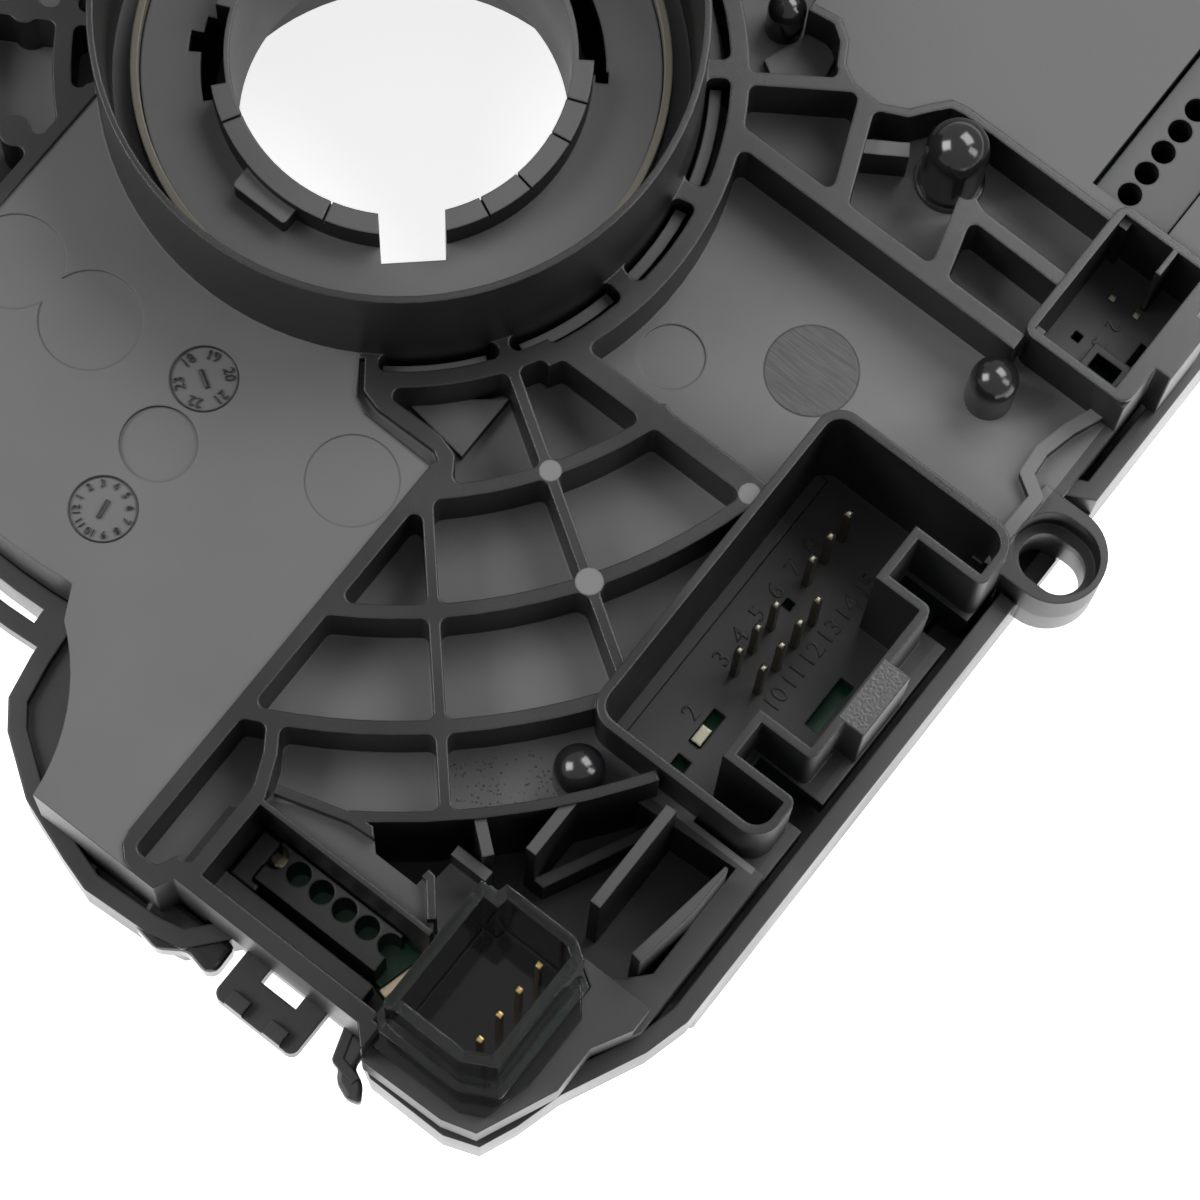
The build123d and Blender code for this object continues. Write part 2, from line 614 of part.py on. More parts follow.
    # Side connector
    shell = rectangle(SIDE_LEFT, SIDE_LOW, SIDE_RIGHT, SIDE_HIGH)
    cover = cover + slab(fillet(shell.vertices(), 1.2), SIDE_FLOOR - 1.2, SHELL_RIM)
    cover = cover + slab(rectangle(SIDE_RIGHT - 1, 17.8, SIDE_RIGHT + 1.6, 23.6), SIDE_FLOOR, SHELL_RIM)
    inner = rectangle(SIDE_LEFT + SHELL_WALL, SIDE_LOW + SHELL_WALL, SIDE_RIGHT - 1.6, SIDE_HIGH - SHELL_WALL)
    cover = cover - slab(inner, SIDE_FLOOR, SHELL_RIM)
    cover = cover - slab(rectangle(63.4, 18.9, 65.2, 22.2), SIDE_FLOOR - 2, SHELL_RIM - 2.5)
    cover = cover + slab(rectangle(61.4, 24.6, 61.9, 27.4), SIDE_FLOOR, SHELL_RIM)
    cover = cover + slab(rectangle(SIDE_LEFT + 0.5, SIDE_LOW + 0.5, 57.2, 15.0), SIDE_FLOOR, SHELL_RIM - 1)
    cover = cover + slab(rectangle(SIDE_LEFT + 0.5, 26.4, 57.2, SIDE_HIGH - 0.5), SIDE_FLOOR, SHELL_RIM - 1)
    frame = rectangle(60.4, 16.4, 64.2, 19.3) - rectangle(61.1, 17.1, 63.7, 18.6)
    cover = cover + slab(frame, SIDE_FLOOR, SIDE_FLOOR + 1.6)
    cover = cover - slab(rectangle(61.1, 17.1, 63.7, 18.6), SIDE_FLOOR - 2, SIDE_FLOOR)
    cover = cover - slab(rectangle(58.3, 18.8, 59.1, 19.6), SIDE_FLOOR - 2, SIDE_FLOOR)
    for x, y in side_pin_places():
        cover = cover - slab(Pos(x, y) * Rectangle(PIN_SIDE, PIN_SIDE), SIDE_FLOOR - 2, SIDE_FLOOR)

    # Bent link beside the ear
    link = path([(64.6, -1.0), (64.8, 4.4), (62.9, 5.6), (62.7, 8.0), (63.4, 11.0), (64.6, 14.0)], 1.2)
    cover = cover + slab(link & outline, SKIN_UNDER, POCKET_FLOOR + 1.2)

    # Ears with a recess and a slotted hole
    for x, y, inward in ear_places():
        cover = cover + slab(ear_plan(x, y, inward), EAR_SPLIT, EAR_TOP)
    for x, y, inward in ear_places():
        cover = cover - slab(slot(EAR_RECESS_LENGTH, EAR_RECESS_R, x, y), EAR_SPLIT + 1.2, FACE + 1)
        cover = cover - slab(ear_slot(x, y), SKIRT_LEVEL - 1, EAR_TOP)

    # Posts that carry the sensor gears
    for index in range(len(SENSOR_TEETH)):
        x, y = sensor_place(index)
        cover = cover + slab(disc(3.3, x, y), GEAR_TOP + 0.2, FACE - PLATEAU_DROP - SKIN)
        cover = cover + slab(disc(POST_R, x, y), BOARD_TOP + 0.1, GEAR_TOP + 0.2)

    # Moulding marks: ejector circles, two dials and one bare round
    marks = [(-14.4, -33.9, 4.2), (-6.2, -34.0, 4.4), (19.7, -31.3, 4.0)]
    marks += [(4.5, -32.1, 2.85), (5.1, -46.0, 2.85)]
    for x, y, r in marks:
        cover = cover - slab(disc(r, x, y), FACE - PLATEAU_DROP - 0.12, FACE)
    cover = cover - slab(disc(3.3, 5.1, -38.8), FACE - PLATEAU_DROP - 0.3, FACE)
    cover = cover - slab(disc(2.9, 32.9, -4.6), POCKET_FLOOR - 0.12, POCKET_FLOOR)
    cover = cover - slab(disc(4.1, 43.0, 1.8), POCKET_FLOOR - 0.2, POCKET_FLOOR)
    return cover


# Front housing
def make_front_housing():
    outline, waist, body = housing_plan(), waist_plan(), body_plan()
    under_shelf = SHELF_LEVEL - HOUSING_WALL
    under_waist = WAIST_LEVEL - HOUSING_WALL
    housing = slab(outline - housing_plan(HOUSING_WALL), under_shelf, RIM_LEVEL)
    housing = housing + slab((outline + waist) - waist_plan(HOUSING_WALL), under_shelf, SHELF_LEVEL)
    housing = housing + slab(waist - waist_plan(HOUSING_WALL), under_waist, under_shelf)
    housing = housing + slab(waist - body_plan(HOUSING_WALL), under_waist, WAIST_LEVEL)
    housing = housing + slab(body - body_plan(HOUSING_WALL), BOX_FRONT, under_waist)
    housing = housing + slab(body - Circle(SHROUD_R), BOX_FRONT, BOX_FRONT + HOUSING_WALL)
    shroud_top = CASSETTE_PLATE_TOP - CASSETTE_PLATE_THICK
    housing = housing + slab(ring(SHROUD_R, SHROUD_R + SHROUD_WALL), RING_FRONT, shroud_top)
    housing = housing + slab(ring(SHROUD_R - 2.4, SHROUD_R), -30.4, -29.0)
    # Deck beside the scallop of the cover
    deck = (housing_plan(HOUSING_WALL - 0.2) - cover_plan(-COVER_GAP)) & rectangle(4, -70, 22, -52)
    housing = housing + slab(deck, SHELF_LEVEL - 0.5, RIM_LEVEL - 1.0)
    # Posts under the lower board
    for x, y in lower_board_posts():
        housing = housing + slab(disc(1.8, x, y), BOX_FRONT, LOWER_BOARD_TOP - BOARD_THICK)
    # Ears, under the cover's ears
    for x, y, inward in ear_places():
        housing = housing + slab(ear_plan(x, y, inward) - housing_plan(HOUSING_WALL), EAR_UNDER, EAR_SPLIT)
    for x, y, inward in ear_places():
        housing = housing - slab(offset(ear_plan(x, y, inward), COVER_GAP), EAR_SPLIT, FACE)
        housing = housing - slab(ear_slot(x, y), EAR_UNDER - 1, EAR_SPLIT)
    beside_shell = rectangle(60, MAIN_LOW, MAIN_RIGHT, MAIN_HIGH + COVER_GAP)
    housing = housing - slab(beside_shell, MAIN_FLOOR, EAR_SPLIT)
    # Window tab, edge hook and cable loop on the rim
    tab = rectangle(36.4, -71.0, 44.9, -64.6)
    tab = fillet(tab.vertices().filter_by(lambda v: v.Y < -70), 0.8) - rectangle(38.9, -67.7, 42.6, -65.9)
    housing = housing + slab(tab, RIM_LEVEL - 2.0, RIM_LEVEL)
    for x in (38.6, 42.6):
        housing = housing + slab(rectangle(x - 0.9, -71.0, x + 0.9, -69.6), RIM_LEVEL, RIM_LEVEL + 0.9)
    hook = path([(46.8, -65.4), (47.9, -68.8), (50.2, -69.3)], 0.9)
    housing = housing + slab(hook, RIM_LEVEL - 1.5, RIM_LEVEL)
    loop = arc_band(55.9, 57.5, -118, -84.5) + arc_band(54.0, 57.5, -118, -115)
    loop = loop + arc_band(54.0, 57.5, -85.2, -83.8)
    housing = housing + slab(loop, SKIRT_LEVEL, RIM_LEVEL)
    return housing


def lower_board_posts():
    """Centres of the posts under the lower board."""
    return ((61.0, -46.0), (37.0, -56.0), (54.0, -57.0), (60.0, 40.0))


# Rotor
def make_rotor_hub():
    outer = BORE_R + HUB_WALL
    front_outer = FRONT_BORE_R + HUB_WALL
    disc_under = DISC_TOP - DISC_THICK
    disc_inner = DISC_R - DISC_WALL
    gear_under = GEAR_TOP - GEAR_WIDTH
    gear_root = MODULE * DRIVE_TEETH / 2 - 1.4 * MODULE
    drum_inner = DRUM_R - DRUM_WALL
    hub = spun(
        (BORE_R, HUB_TOP), (outer, HUB_TOP), (outer, DISC_TOP), (DISC_R, DISC_TOP), (DISC_R, GEAR_TOP),
        (gear_root, GEAR_TOP), (gear_root, gear_under), (DRUM_R, gear_under), (DRUM_R, CABLE_FLOOR),
        (drum_inner, CABLE_FLOOR), (drum_inner, gear_under - DRUM_WALL), (disc_inner, GEAR_TOP - 1.0),
        (disc_inner, disc_under), (outer, disc_under), (outer, NECK_START),
        (front_outer, NECK_START - front_outer + outer), (front_outer, CABLE_FLOOR),
        (FRONT_BORE_R, CABLE_FLOOR),
        (FRONT_BORE_R, NECK_END - 3.2), (BORE_R, NECK_END),
    )
    teeth = gear_plan(DRIVE_TEETH, 0.0) - Circle(gear_root - 0.6)
    hub = hub + slab(teeth, gear_under, GEAR_TOP)
    notch = Rot(0, 0, NOTCH_ANGLE) * rectangle(BORE_R - 2, -NOTCH_WIDTH / 2, NOTCH_R, NOTCH_WIDTH / 2)
    hub = hub - slab(notch, NECK_END - 4, HUB_TOP + 1)
    # Dark windows beside the tube, and the gaps between the rim's segments
    windows = arc_band(BORE_R + 0.5, BORE_R + 2.9, 36, 64) + arc_band(BORE_R + 0.5, BORE_R + 2.6, 203, 229)
    windows = windows + arc_band(BORE_R + 2.0, BORE_R + 3.7, 208, 214)
    windows = windows + arc_band(BORE_R + 2.0, BORE_R + 3.1, 33.5, 37)
    windows = windows + arc_band(BORE_R + 0.5, BORE_R + 2.9, 118, 146)
    hub = hub - slab(windows, NECK_START, HUB_TOP + 1)
    for angle in (-118.8, -75.0, -24.5, -9.6, 8.9, 22.1, 80.0, 100.0, 170.0):
        gap = Rot(0, 0, angle) * rectangle(BORE_R - 1, -0.1, outer + 1, 0.1)
        hub = hub - slab(gap, HUB_TOP - 0.8, HUB_TOP + 1)
    # Low snap hook outside the ring
    hook = rounded(rectangle(-4.0, -(outer + 1.5), 1.6, -(outer - 1.0)), 0.4)
    return hub + slab(hook, DISC_TOP, HUB_TOP - 1.1)


def make_front_drum():
    """Front half of the rotor: cable floor, rim and inner tube."""
    inner = FRONT_BORE_R + HUB_WALL + 0.2
    rim = SHROUD_R - 2.8
    return spun(
        (inner, CABLE_FLOOR), (rim, CABLE_FLOOR), (rim, RING_FRONT + 2.6), (SHROUD_R - 0.6, RING_FRONT + 2.6),
        (SHROUD_R - 0.6, RING_FRONT + 0.6), (rim - 1.8, RING_FRONT + 0.6), (rim - 1.8, CABLE_FLOOR - 1.4),
        (inner + 1.8, CABLE_FLOOR - 1.4), (inner + 1.8, RING_FRONT + 0.6), (inner, RING_FRONT + 0.6),
    )


def socket_places():
    """Angles of the sockets on the rotor's front: two squib sockets and the switch socket."""
    return (135.0, 45.0, 270.0)


def make_front_plate():
    """Front cover of the rotor with cut-outs for its sockets and two drive lugs' seats."""
    inner = FRONT_BORE_R + HUB_WALL + 2.1
    outer = SHROUD_R - 2.8 - 1.9
    plate = slab(ring(inner, outer), RING_FRONT + 0.8, RING_FRONT + 2.6)
    for angle in socket_places()[:2]:
        plate = plate - slab(disc(5.6, *polar(34.5, angle)), RING_FRONT, RING_FRONT + 4)
    x, y = polar(34.5, socket_places()[2])
    plate = plate - slab(rectangle(x - 10.4, y - 4.6, x + 10.4, y + 4.6), RING_FRONT, RING_FRONT + 4)
    return plate


def make_squib_sockets():
    """Round sockets for the airbag's plugs."""
    sockets = []
    for angle in socket_places()[:2]:
        x, y = polar(34.5, angle)
        body = slab(disc(5.4, x, y), RING_FRONT + 0.8, CABLE_FLOOR - 1.4)
        hollow = slab(disc(4.2, x, y) + rectangle(x - 1.2, y - 5, x + 1.2, y), RING_FRONT, CABLE_FLOOR - 3.0)
        sockets.append(body - hollow)
    return sockets


def make_switch_socket():
    """Long socket for the steering wheel switches."""
    x, y = polar(34.5, socket_places()[2])
    body = slab(rectangle(x - 10.2, y - 4.4, x + 10.2, y + 4.4), RING_FRONT + 0.8, CABLE_FLOOR - 1.4)
    return body - slab(rectangle(x - 9.2, y - 3.4, x + 9.2, y + 3.4), RING_FRONT, CABLE_FLOOR - 3.0)


def make_front_pins():
    """Pins of the rotor's sockets."""
    pins = []
    for angle in socket_places()[:2]:
        x, y = polar(34.5, angle)
        pins += [slab(disc(0.5, x + dx, y + 1.2), CABLE_FLOOR - 7.2, CABLE_FLOOR - 3.0) for dx in (-1.3, 1.3)]
    x, y = polar(34.5, socket_places()[2])
    for k in range(6):
        place = Pos(x + (k - 2.5) * PIN_PITCH, y - 1.8) * Rectangle(PIN_SIDE, PIN_SIDE)
        pins.append(slab(place, CABLE_FLOOR - 7.2, CABLE_FLOOR - 3.0))
    return pins


def make_flat_cable():
    """Ribbon wound in an open spiral between the drum and the cassette's wall."""
    inner, outer = DRUM_R + 0.6, CASSETTE_R - CASSETTE_WALL - 0.7
    steps = 14 * CABLE_TURNS
    near, far = [], []
    for step in range(steps + 1):
        share = step / steps
        radius = inner + (outer - inner) * share
        angle = 360.0 * CABLE_TURNS * share
        near.append(polar(radius, angle))
        far.append(polar(radius + CABLE_THICK, angle))
    cable_top = CASSETTE_PLATE_TOP - CASSETTE_PLATE_THICK - 0.4
    return slab(plan(*near, *reversed(far)), CABLE_FLOOR + 0.4, cable_top)


def make_cassette_plate():
    """Root-side plate and outer wall of the cable cassette."""
    under = CASSETTE_PLATE_TOP - CASSETTE_PLATE_THICK
    plate = slab(ring(DRUM_R + 0.8, SHROUD_R + 1.2), under, CASSETTE_PLATE_TOP)
    plate = plate + slab(ring(CASSETTE_R - CASSETTE_WALL, CASSETTE_R), CABLE_FLOOR + 0.5, under)
    for x, y in board_seats():
        plate = plate + slab(disc(1.6, x, y), CASSETTE_PLATE_TOP, BOARD_TOP - BOARD_THICK)
    return plate


def board_seats():
    """Where the upper board rests on the cassette plate."""
    return (polar(36.0, -125), polar(45.5, -88), polar(36.0, -40), polar(40.0, 30))


# Boards and what they carry
def board_plan():
    """Upper board: a sector round the rotor with tongues under both pin guides."""
    sector = arc_band(DRUM_R + 5.2, BODY_R - 2, -150, -60) + arc_band(DRUM_R + 5.2, BODY_R - 2, -61, 62)
    tongue_a = plan((20, -44), (28.0, -61.4), (48.0, -61.4), (48.0, -56.8), (36.6, -56.8), (33, -40))
    tongue_b = rectangle(26, 28.4, 60.6, 45.2)
    board = sector + tongue_a + tongue_b
    board = board - offset(main_shell_plan(), 0.6, kind=Kind.INTERSECTION)
    board = board - (bay_plan(1.2) + offset(bay_plan(), 1.8, kind=Kind.INTERSECTION))
    return board


def make_circuit_board():
    board = slab(board_plan(), BOARD_TOP - BOARD_THICK, BOARD_TOP)
    return board


def make_lower_board():
    """Lower board under the main connector's pins."""
    inside = body_plan(HOUSING_WALL + 0.5)
    field = plan((26, -68), (70, -68), (70, 48), (54, 48), (54, 0), (46, -30), (26, -58))
    board = (inside & field) - Circle(SHROUD_R + SHROUD_WALL + 0.4)
    return slab(board, LOWER_BOARD_TOP - BOARD_THICK, LOWER_BOARD_TOP)


def make_main_pins():
    """Square pins of the main connector, from the lower board up into the cavity."""
    top = MAIN_FLOOR + PIN_HEIGHT
    pins = []
    for x, y in pin_places():
        pin = slab(Pos(x, y) * Rectangle(PIN_SIDE, PIN_SIDE), LOWER_BOARD_TOP, top)
        tip = pin.faces().sort_by(Axis.Z)[-1].edges()
        pins.append(chamfer(tip, 0.2))
    return pins


def make_main_blade():
    """Flat supply blade in its slot."""
    return slab(rectangle(53.6, -28.1, 54.6, -26.4), LOWER_BOARD_TOP, MAIN_FLOOR + 0.4)


def side_pin_places():
    """Centres of the side connector's pins."""
    return ((59.0, 18.9 + PIN_PITCH * 2), (61.54, 18.9 + PIN_PITCH * 2))


def make_side_pins():
    pins = []
    for x, y in side_pin_places():
        pins.append(slab(Pos(x, y) * Rectangle(PIN_SIDE, PIN_SIDE), BOARD_TOP, SIDE_FLOOR - 0.3))
    return pins


def make_small_socket():
    """Clear housing of the small connector, standing on a stepped foot."""
    outer = small_socket_plan()
    stem = rectangle(SMALL_LEFT + 1, SMALL_LOW + 2.4, SMALL_RIGHT - 2, SMALL_HIGH - 1)
    socket = slab(outer, SMALL_SEAT, SMALL_RIM) + slab(small_socket_plan(0.6), SOCKET_FOOT, SMALL_SEAT)
    socket = socket + slab(stem, LOWER_BOARD_TOP, SOCKET_FOOT)
    foot = plan(
        (SMALL_LEFT, -66.9), (59.0, -66.8), (61.0, -65.8), (62.2, -61.4), (62.2, -54.6), (SMALL_RIGHT, -52.4),
        (58.8, SMALL_HIGH), (51.8, SMALL_HIGH), (51.6, -52.4), (SMALL_LEFT, -52.4),
    )
    socket = socket + slab(foot, SMALL_SEAT, SMALL_SEAT + 1.2)
    cavity = small_socket_plan(-SMALL_WALL)
    return socket - slab(cavity, SMALL_FLOOR, SMALL_RIM)


def make_small_pins():
    places = [(SMALL_PIN_X, SMALL_PIN_Y + PIN_PITCH * k) for k in range(4)]
    return [slab(Pos(x, y) * Rectangle(0.5, 0.5), SMALL_FLOOR, SMALL_FLOOR + 7.5) for x, y in places]


def make_pin_guide(block, places, top):
    """A block with a row of round guide holes, standing on the board."""
    guide = slab(block, BOARD_TOP, top)
    for x, y in places:
        guide = guide - slab(disc(GUIDE_HOLE_R, x, y), BOARD_TOP, top)
    return guide


def guide_a_block():
    """Outline of the first guide block, whose end holes are open at the sides."""
    return rectangle(GUIDE_A_X - 0.3, GUIDE_A_Y - 2.5, GUIDE_A_X + 12.4, GUIDE_A_Y - 2.5 + GUIDE_A_WIDTH)


def guide_b_block():
    """Outline of the second guide block, which fills its channel."""
    return rectangle(GUIDE_B_X - 2.7, SIDE_HIGH + 0.3, GUIDE_B_X - 2.7 + GUIDE_B_WIDTH, BOX_TOP - 4.0)


def make_board_chips():
    """Sensor chips, controller and small parts on the upper board."""
    chips = []
    for index in range(len(SENSOR_TEETH)):
        x, y = sensor_place(index)
        under_board = BOARD_TOP - BOARD_THICK
        chips.append(slab(Pos(x, y) * Rectangle(4.0, 4.0), under_board - 0.5, under_board))
    chips.append(slab(Pos(*polar(40.5, -40)) * Rectangle(7.0, 7.0), BOARD_TOP, BOARD_TOP + 1.4))
    chips.append(slab(Pos(*polar(41.0, 12)) * Rectangle(5.0, 4.0), BOARD_TOP, BOARD_TOP + 1.2))
    chips.append(slab(disc(2.4, *polar(42.0, 40)), BOARD_TOP, BOARD_TOP + 3.6))
    return chips


def dome_pin(x, y, radius, base, top):
    """A round-headed pin."""
    shank = slab(disc(radius, x, y), base, top - radius)
    return shank + Pos(x, y, top - radius) * Sphere(radius)


def make_guide_pin():
    """Tall round-headed pin with a collar at its foot."""
    pin = dome_pin(41.9, 22.8, 2.75, POCKET_FLOOR, 4.0)
    return pin + slab(disc(3.05, 41.9, 22.8), POCKET_FLOOR, POCKET_FLOOR + 0.7)


def make_stake_heads():
    """Round stake heads on the cover's floor."""
    places = ((56.2, 9.3, 2.1, 0.4), (49.3, -38.5, 2.2, -0.6), (22.2, 25.2, 1.7, -0.6))
    return [dome_pin(x, y, radius, POCKET_FLOOR, top) for x, y, radius, top in places]


def make_sensor_gear(index):
    """Sensor gear with a pocket for its magnet underneath."""
    teeth = SENSOR_TEETH[index]
    back = SENSOR_STEPS[index] * TOOTH_PITCH + 180.0
    x, y = sensor_place(index)
    under = GEAR_TOP - GEAR_WIDTH
    gear = slab(gear_plan(teeth, back + 180.0 / teeth), under, GEAR_TOP)
    gear = gear - slab(Circle(POST_R + POST_CLEARANCE), under, GEAR_TOP)
    gear = gear - slab(Circle(MAGNET_R), under, under + MAGNET_THICK)
    return Pos(x, y) * gear


def make_magnet(index):
    """Ring magnet pressed into a sensor gear."""
    x, y = sensor_place(index)
    under = GEAR_TOP - GEAR_WIDTH
    ring_plan = Circle(MAGNET_R) - Circle(POST_R + POST_CLEARANCE + 0.5)
    return Pos(x, y) * slab(ring_plan, under, under + MAGNET_THICK)


def make_slide_ring():
    """Back slide ring, seated in the foot of the collar round the rotor's disc."""
    return slab(ring(DISC_R + SLIDE_CLEARANCE, SLIDE_R), SEAT_LEVEL, SLIDE_TOP)


def make_front_slide_ring():
    """Front slide ring on the housing's ledge."""
    return slab(ring(SHROUD_R - 2.2, SHROUD_R - 0.1), -31.2, -30.4)


def make_cable_block():
    """Termination of the flat cable at the cassette's wall."""
    under = CASSETTE_PLATE_TOP - CASSETTE_PLATE_THICK
    block = arc_band(CASSETTE_R - CASSETTE_WALL - 3.0, CASSETTE_R - CASSETTE_WALL, 3, 9)
    return slab(block, CABLE_FLOOR + 0.6, under)


nodes = {
    "back_cover": make_back_cover(),
    "front_housing": make_front_housing(),
    "circuit_board": make_circuit_board(),
    "lower_board": make_lower_board(),
    "board_chips": make_board_chips(),
    "cassette_plate": make_cassette_plate(),
    "slide_ring": make_slide_ring(),
    "front_slide_ring": make_front_slide_ring(),
    "main_pins": make_main_pins(),
    "main_blade": make_main_blade(),
    "side_pins": make_side_pins(),
    "small_socket": make_small_socket(),
    "small_pins": make_small_pins(),
    "pin_guide_a": make_pin_guide(guide_a_block(), guide_a_places(), GUIDE_A_TOP),
    "pin_guide_b": make_pin_guide(guide_b_block(), guide_b_places(), GUIDE_B_TOP),
    "guide_pin": make_guide_pin(),
    "stake_heads": make_stake_heads(),
    "cable_block": make_cable_block(),
    "rotor_hub": make_rotor_hub(),
    "front_drum": make_front_drum(),
    "front_plate": make_front_plate(),
    "squib_sockets": make_squib_sockets(),
    "switch_socket": make_switch_socket(),
    "front_pins": make_front_pins(),
    "flat_cable": make_flat_cable(),
    "sensor_gear_a": make_sensor_gear(0),
    "sensor_gear_b": make_sensor_gear(1),
    "magnet_a": make_magnet(0),
    "magnet_b": make_magnet(1),
}

os.makedirs("parts", exist_ok=True)
for name, shape in nodes.items():
    solid = Compound(children=[s for s in shape]) if isinstance(shape, list) else shape
    export_step(solid, f"parts/{name}.step")
    print(name, round(solid.volume, 1))
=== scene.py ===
# %% [markdown]
# # Dressing a steering clock spring
# The part is a flat round cassette that carries wires from a turning steering wheel to the fixed column.
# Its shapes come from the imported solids, which are loaded as a fixed frame and never moved.
# This script gives them light, finishes and the small things that solids leave out.

# %% Load the frame
import json
from math import atan2, cos, radians, sin
from random import Random

import bmesh
import bpy
from mathutils import Matrix, Vector


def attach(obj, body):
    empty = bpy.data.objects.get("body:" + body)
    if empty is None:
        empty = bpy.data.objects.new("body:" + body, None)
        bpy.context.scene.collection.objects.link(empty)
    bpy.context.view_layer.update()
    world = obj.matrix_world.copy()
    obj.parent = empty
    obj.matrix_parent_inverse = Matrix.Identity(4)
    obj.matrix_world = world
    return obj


MM = 0.001

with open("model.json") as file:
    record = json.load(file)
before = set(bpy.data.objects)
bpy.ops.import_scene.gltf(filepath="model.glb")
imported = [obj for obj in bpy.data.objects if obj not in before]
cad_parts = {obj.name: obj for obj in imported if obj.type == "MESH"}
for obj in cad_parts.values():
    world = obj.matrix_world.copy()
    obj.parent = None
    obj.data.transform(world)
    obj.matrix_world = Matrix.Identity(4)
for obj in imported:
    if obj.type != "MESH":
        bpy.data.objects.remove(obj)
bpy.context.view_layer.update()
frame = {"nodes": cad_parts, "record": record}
nodes = frame["nodes"]

# %% [markdown]
# The photograph looks almost straight down at the column side, turned a little, with a long lens.
# Pins at a known pitch gave the camera's place, so the lens and the view match the photograph.

# %% Camera
CAMERA_AT = Vector((94.506, -110.32, 375.842)) * MM
CAMERA_RIGHT = Vector((0.78833, 0.61466, 0.02697))
CAMERA_UP = Vector((-0.60032, 0.75886, 0.25248))
LENS_MM = 141.33
SENSOR_MM = 36.0
NEAREST_SEEN = 10 * MM

camera_data = bpy.data.cameras.new("camera")
camera_data.lens = LENS_MM
camera_data.sensor_width = SENSOR_MM
camera_data.clip_start = NEAREST_SEEN
camera = bpy.data.objects.new("camera", camera_data)
bpy.context.scene.collection.objects.link(camera)
turn = Matrix((CAMERA_RIGHT, CAMERA_UP, CAMERA_RIGHT.cross(CAMERA_UP))).transposed()
camera.matrix_world = Matrix.Translation(CAMERA_AT) @ turn.to_4x4()
bpy.context.scene.camera = camera
bpy.context.scene.view_settings.view_transform = "Standard"
print("camera stands", round(CAMERA_AT.length / MM), "mm from the bore")

# %% [markdown]
# Black plastic shows its form by what it reflects, so a wide soft panel hangs above it.
# A panel on the right parts the ribs from their shadows, and one on the left lights the pockets.

# %% Lamps


def add_panel(name, place, target, size, power):
    """A soft rectangular lamp that faces a point."""
    lamp = bpy.data.lights.new(name, "AREA")
    lamp.shape = "RECTANGLE"
    lamp.size, lamp.size_y = size
    lamp.energy = power
    holder = bpy.data.objects.new(name, lamp)
    bpy.context.scene.collection.objects.link(holder)
    holder.location = place
    holder.rotation_euler = (Vector(target) - Vector(place)).to_track_quat("-Z", "Y").to_euler()
    return holder


panels = [
    add_panel("top_panel", place=(0.14, 0.46, 0.62), target=(0.02, 0, 0), size=(0.55, 0.42), power=6.0),
    add_panel("side_panel", place=(0.62, 0.20, 0.42), target=(0.03, 0, 0), size=(0.25, 0.45), power=2.0),
    add_panel("left_panel", place=(-0.46, -0.34, 0.58), target=(0.03, 0, 0), size=(0.45, 0.45), power=6.5),
]
print("lamps:", [panel.name for panel in panels])

# %% [markdown]
# The floor is white to the eye and still takes the part's shadow. It glows only where the camera sees it,
# straight or through a reflection, so that it doesn't light the part from below.

# %% Floor
FLOOR_LEVEL = -34 * MM
FLOOR_GAP = 0.2 * MM
FLOOR_SIZE = 6.0
FLOOR_WHITE = (0.85, 0.85, 0.85, 1)
FLOOR_GLOW = 0.8


def new_material(name):
    """A material with an empty node tree, and its output."""
    material = bpy.data.materials.new(name)
    material.use_nodes = True
    material.node_tree.nodes.clear()
    output = material.node_tree.nodes.new("ShaderNodeOutputMaterial")
    return material, material.node_tree, output


def math_node(tree, operation, first, second):
    """Output of a math node, where second may be a socket or a value."""
    node = tree.nodes.new("ShaderNodeMath")
    node.operation = operation
    tree.links.new(first, node.inputs[0])
    if isinstance(second, bpy.types.NodeSocket):
        tree.links.new(second, node.inputs[1])
    else:
        node.inputs[1].default_value = second
    return node.outputs[0]


def see_through_ray(tree):
    """1 for camera, glossy and transmission rays, so that the pale floor shows in them too."""
    rays = tree.nodes.new("ShaderNodeLightPath").outputs
    seen = math_node(tree, "MAXIMUM", rays["Is Camera Ray"], rays["Is Glossy Ray"])
    return math_node(tree, "MAXIMUM", seen, rays["Is Transmission Ray"])


bpy.ops.object.select_all(action="DESELECT")
bpy.ops.mesh.primitive_plane_add(size=FLOOR_SIZE, location=(0, 0, FLOOR_LEVEL - FLOOR_GAP))
floor = bpy.context.object
floor.name = "floor"

floor_material, tree, output = new_material("studio_floor")
shade = tree.nodes.new("ShaderNodeBsdfDiffuse")
shade.inputs["Color"].default_value = FLOOR_WHITE
glow = tree.nodes.new("ShaderNodeEmission")
glow.inputs["Strength"].default_value = FLOOR_GLOW
bright_floor = tree.nodes.new("ShaderNodeAddShader")
pick = tree.nodes.new("ShaderNodeMixShader")
tree.links.new(see_through_ray(tree), pick.inputs[0])
tree.links.new(shade.outputs[0], pick.inputs[1])
tree.links.new(shade.outputs[0], bright_floor.inputs[0])
tree.links.new(glow.outputs[0], bright_floor.inputs[1])
tree.links.new(bright_floor.outputs[0], pick.inputs[2])
tree.links.new(pick.outputs[0], output.inputs["Surface"])
floor.data.materials.append(floor_material)
print("floor lies", round(-floor.location.z / MM, 1), "mm below the face")

# %% [markdown]
# The world is white behind the part, but lights it with about half of that. A fully white world would fill
# the shadows between the ribs, and black plastic would look grey.

# %% World
WORLD_LIGHT = 0.55
WHITE = (1, 1, 1, 1)

